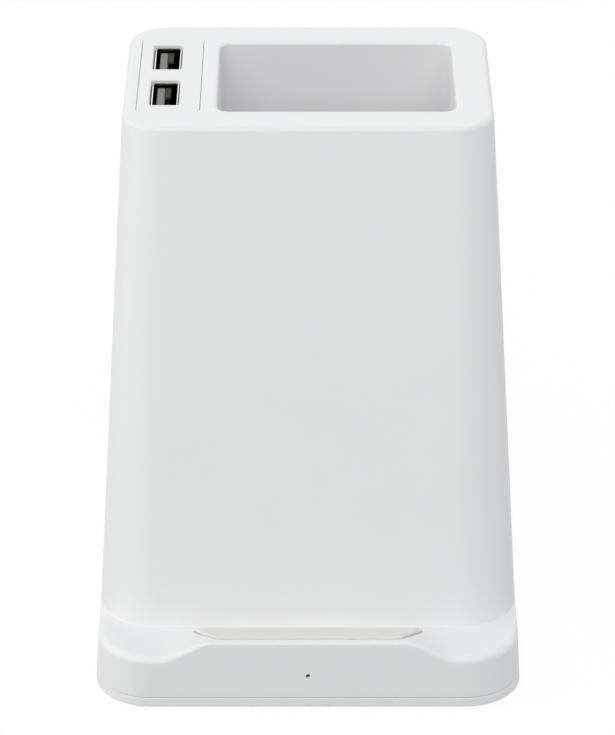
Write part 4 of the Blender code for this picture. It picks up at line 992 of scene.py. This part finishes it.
def makeInlet():
    # the slot shaped shell, the block in it with its blade, and a row of contacts on both faces of the blade
    profile = tubeProfile(inletLow.y, inletHigh.y, inlet["sheet"])
    dress(surface("supplyShell", slotLoops(profile), wrapAlong=True), ["inlet_shell"], "socket_steel")
    tongueLow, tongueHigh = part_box("inlet_tongue")
    tip, blockEnd, inset = tongueHigh.y, tongueHigh.y - inlet["bladeLength"], -inlet["sheet"] - body["fit"]
    block = surface("supplyTongue", slotLoops([(inset, tongueLow.y), (inset, blockEnd)]))
    wide, thin = inlet["bladeHalfWidth"], inlet["bladeHalfThickness"]
    loop = rounded(0, 0, wide, thin, thin * inlet["bladeCorner"], steps["supplyBlade"])
    sections = [(blockEnd - inlet["bladeRoot"], 1.0), (tip - inlet["tipRun"], 1.0), (tip, inlet["tipShare"])]
    blade = [columns(-loop[:, 0] * share, y, inletZ + loop[:, 1] * share) for y, share in sections]
    carve(block, unions=[surface("blade", np.array(blade))])
    dress(block, ["inlet_tongue"], "black_plastic")
    bars = []
    for face in sides:
        for index in range(inlet["contacts"]):
            x = (index - (inlet["contacts"] - 1) / 2) * inlet["contactPitch"]
            z = inletZ + face * thin
            path = np.linspace((x, blockEnd, z), (x, tip - inlet["contactSetback"], z), 3)
            bars.append(carried("bar", path, (1, 0, 0), strip(inlet["contactWidth"], inlet["contactSheet"])))
    dress(merge("supplyContacts", bars), [], "contact_plating")


makeInlet()
print("supply socket made")


# Nodes that keep their own shape

keptNodes = {
    "board_laminate": ["charger_board", "usb_board"],
    "black_plastic": ["controller_chip", "driver_chip"],
    "ferrite": ["inductor", "ferrite_sheet"],
    "clear_plastic": ["status_led", "light_pipe"],
    "coil_copper": ["coil"],
    "natural_plastic": ["coil_carrier", "cable_plug_upper", "cable_plug_lower"],
    "cable_jacket": ["usb_cable"],
    "screw_steel": ["usb_board_screw", "carrier_screw_left", "carrier_screw_right",
                    *[f"board_screw_{number}" for number in four]],
    "capacitor_ceramic": [f"resonance_capacitor_{number}" for number in (1, 2, 3)],
}

for slot, names in keptNodes.items():
    for name in names:
        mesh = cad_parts[name].data
        mesh.materials.clear()
        mesh.materials.append(materials[slot])
print("kept nodes dressed")


# Floor and light

studio = {"worldLight": 0.235, "sky": (0.97, 1.0, 1.0), "floorSize": 6.0, "floorColour": (0.6, 0.6, 0.6),
          "floorRough": 0.9, "floorSpecular": 0.1, "floorWhite": 0.9, "whiteLevel": 1.05}


def rayMix(tree, lit, white):
    # camera, glossy and transmission rays meet the white shader, and all others the lit one
    path = node(tree, "ShaderNodeLightPath")
    first, seen = [node(tree, "ShaderNodeMath", operation="MAXIMUM") for _ in range(2)]
    mix = node(tree, "ShaderNodeMixShader")
    join(tree, [(path, "Is Camera Ray", first, 0), (path, "Is Glossy Ray", first, 1), (first, 0, seen, 0),
                (path, "Is Transmission Ray", seen, 1), (lit, 0, mix, 1), (white, 0, mix, 2)])
    return seen, mix


def makeWorld():
    # soft light from all round, behind a white background
    world = bpy.data.worlds.new("studio")
    world.use_nodes = True
    bpy.context.scene.world = world
    tree = world.node_tree
    light = fill(tree.nodes["Background"], Color=(*studio["sky"], 1), Strength=studio["worldLight"])
    white = node(tree, "ShaderNodeBackground", Color=(1, 1, 1, 1), Strength=1.0)
    seen, mix = rayMix(tree, light, white)
    join(tree, [(seen, 0, mix, 0), (mix, 0, tree.nodes["World Output"], "Surface")])


def makeFloor():
    # pale floor that shows as almost white; the rest is its own shade, for a faint contact shadow
    half = studio["floorSize"] / 2
    corners = [(-half, -half, 0), (half, -half, 0), (half, half, 0), (-half, half, 0)]
    mesh = bpy.data.meshes.new("floor")
    mesh.from_pydata(corners, [], [range(4)])
    floor = placed("floor", mesh)
    material = bpy.data.materials.new("paleFloor")
    material.use_nodes = True
    tree = material.node_tree
    shader = fill(tree.nodes["Principled BSDF"], Base_Color=(*studio["floorColour"], 1),
                  Roughness=studio["floorRough"], Specular_IOR_Level=studio["floorSpecular"])
    white = node(tree, "ShaderNodeEmission", Strength=studio["whiteLevel"])
    seen, mix = rayMix(tree, shader, white)
    share = node(tree, "ShaderNodeMath", operation="MULTIPLY")
    share.inputs[1].default_value = studio["floorWhite"]
    join(tree, [(seen, 0, share, 0), (share, 0, mix, 0), (mix, 0, tree.nodes["Material Output"], "Surface")])
    mesh.materials.append(material)


lights = {
    # place, colour, size and power of each soft box
    "frontHigh": {"place": (0.0, -1.25, 1.32), "colour": (0.98, 1.0, 0.985), "size": 1.8, "power": 18.4},
    "left": {"place": (-1.6, -0.05, 0.95), "colour": (0.98, 0.99, 0.97), "size": 1.6, "power": 15.0},
    "right": {"place": (1.6, 0.4, 0.95), "colour": (0.925, 0.96, 1.0), "size": 1.6, "power": 6.6},
    "back": {"place": (0.25, 1.5, 1.3), "colour": (0.98, 1.0, 0.98), "size": 2.4, "power": 9.9},
}
aimHeight = 0.05


def makeLight(name, values):
    # square soft box, turned to face the object's middle
    data = bpy.data.lights.new(name, "AREA")
    data.shape = "SQUARE"
    data.size = values["size"]
    data.energy = values["power"]
    data.color = values["colour"]
    softBox = placed(name, data)
    softBox.location = values["place"]
    x, y, z = np.array((0, 0, aimHeight)) - values["place"]
    softBox.rotation_euler = (math.atan2(math.hypot(x, y), -z), 0, math.atan2(y, x) - math.pi / 2)


makeWorld()
makeFloor()
for name, values in lights.items():
    makeLight(name, values)
print("floor and lights set")
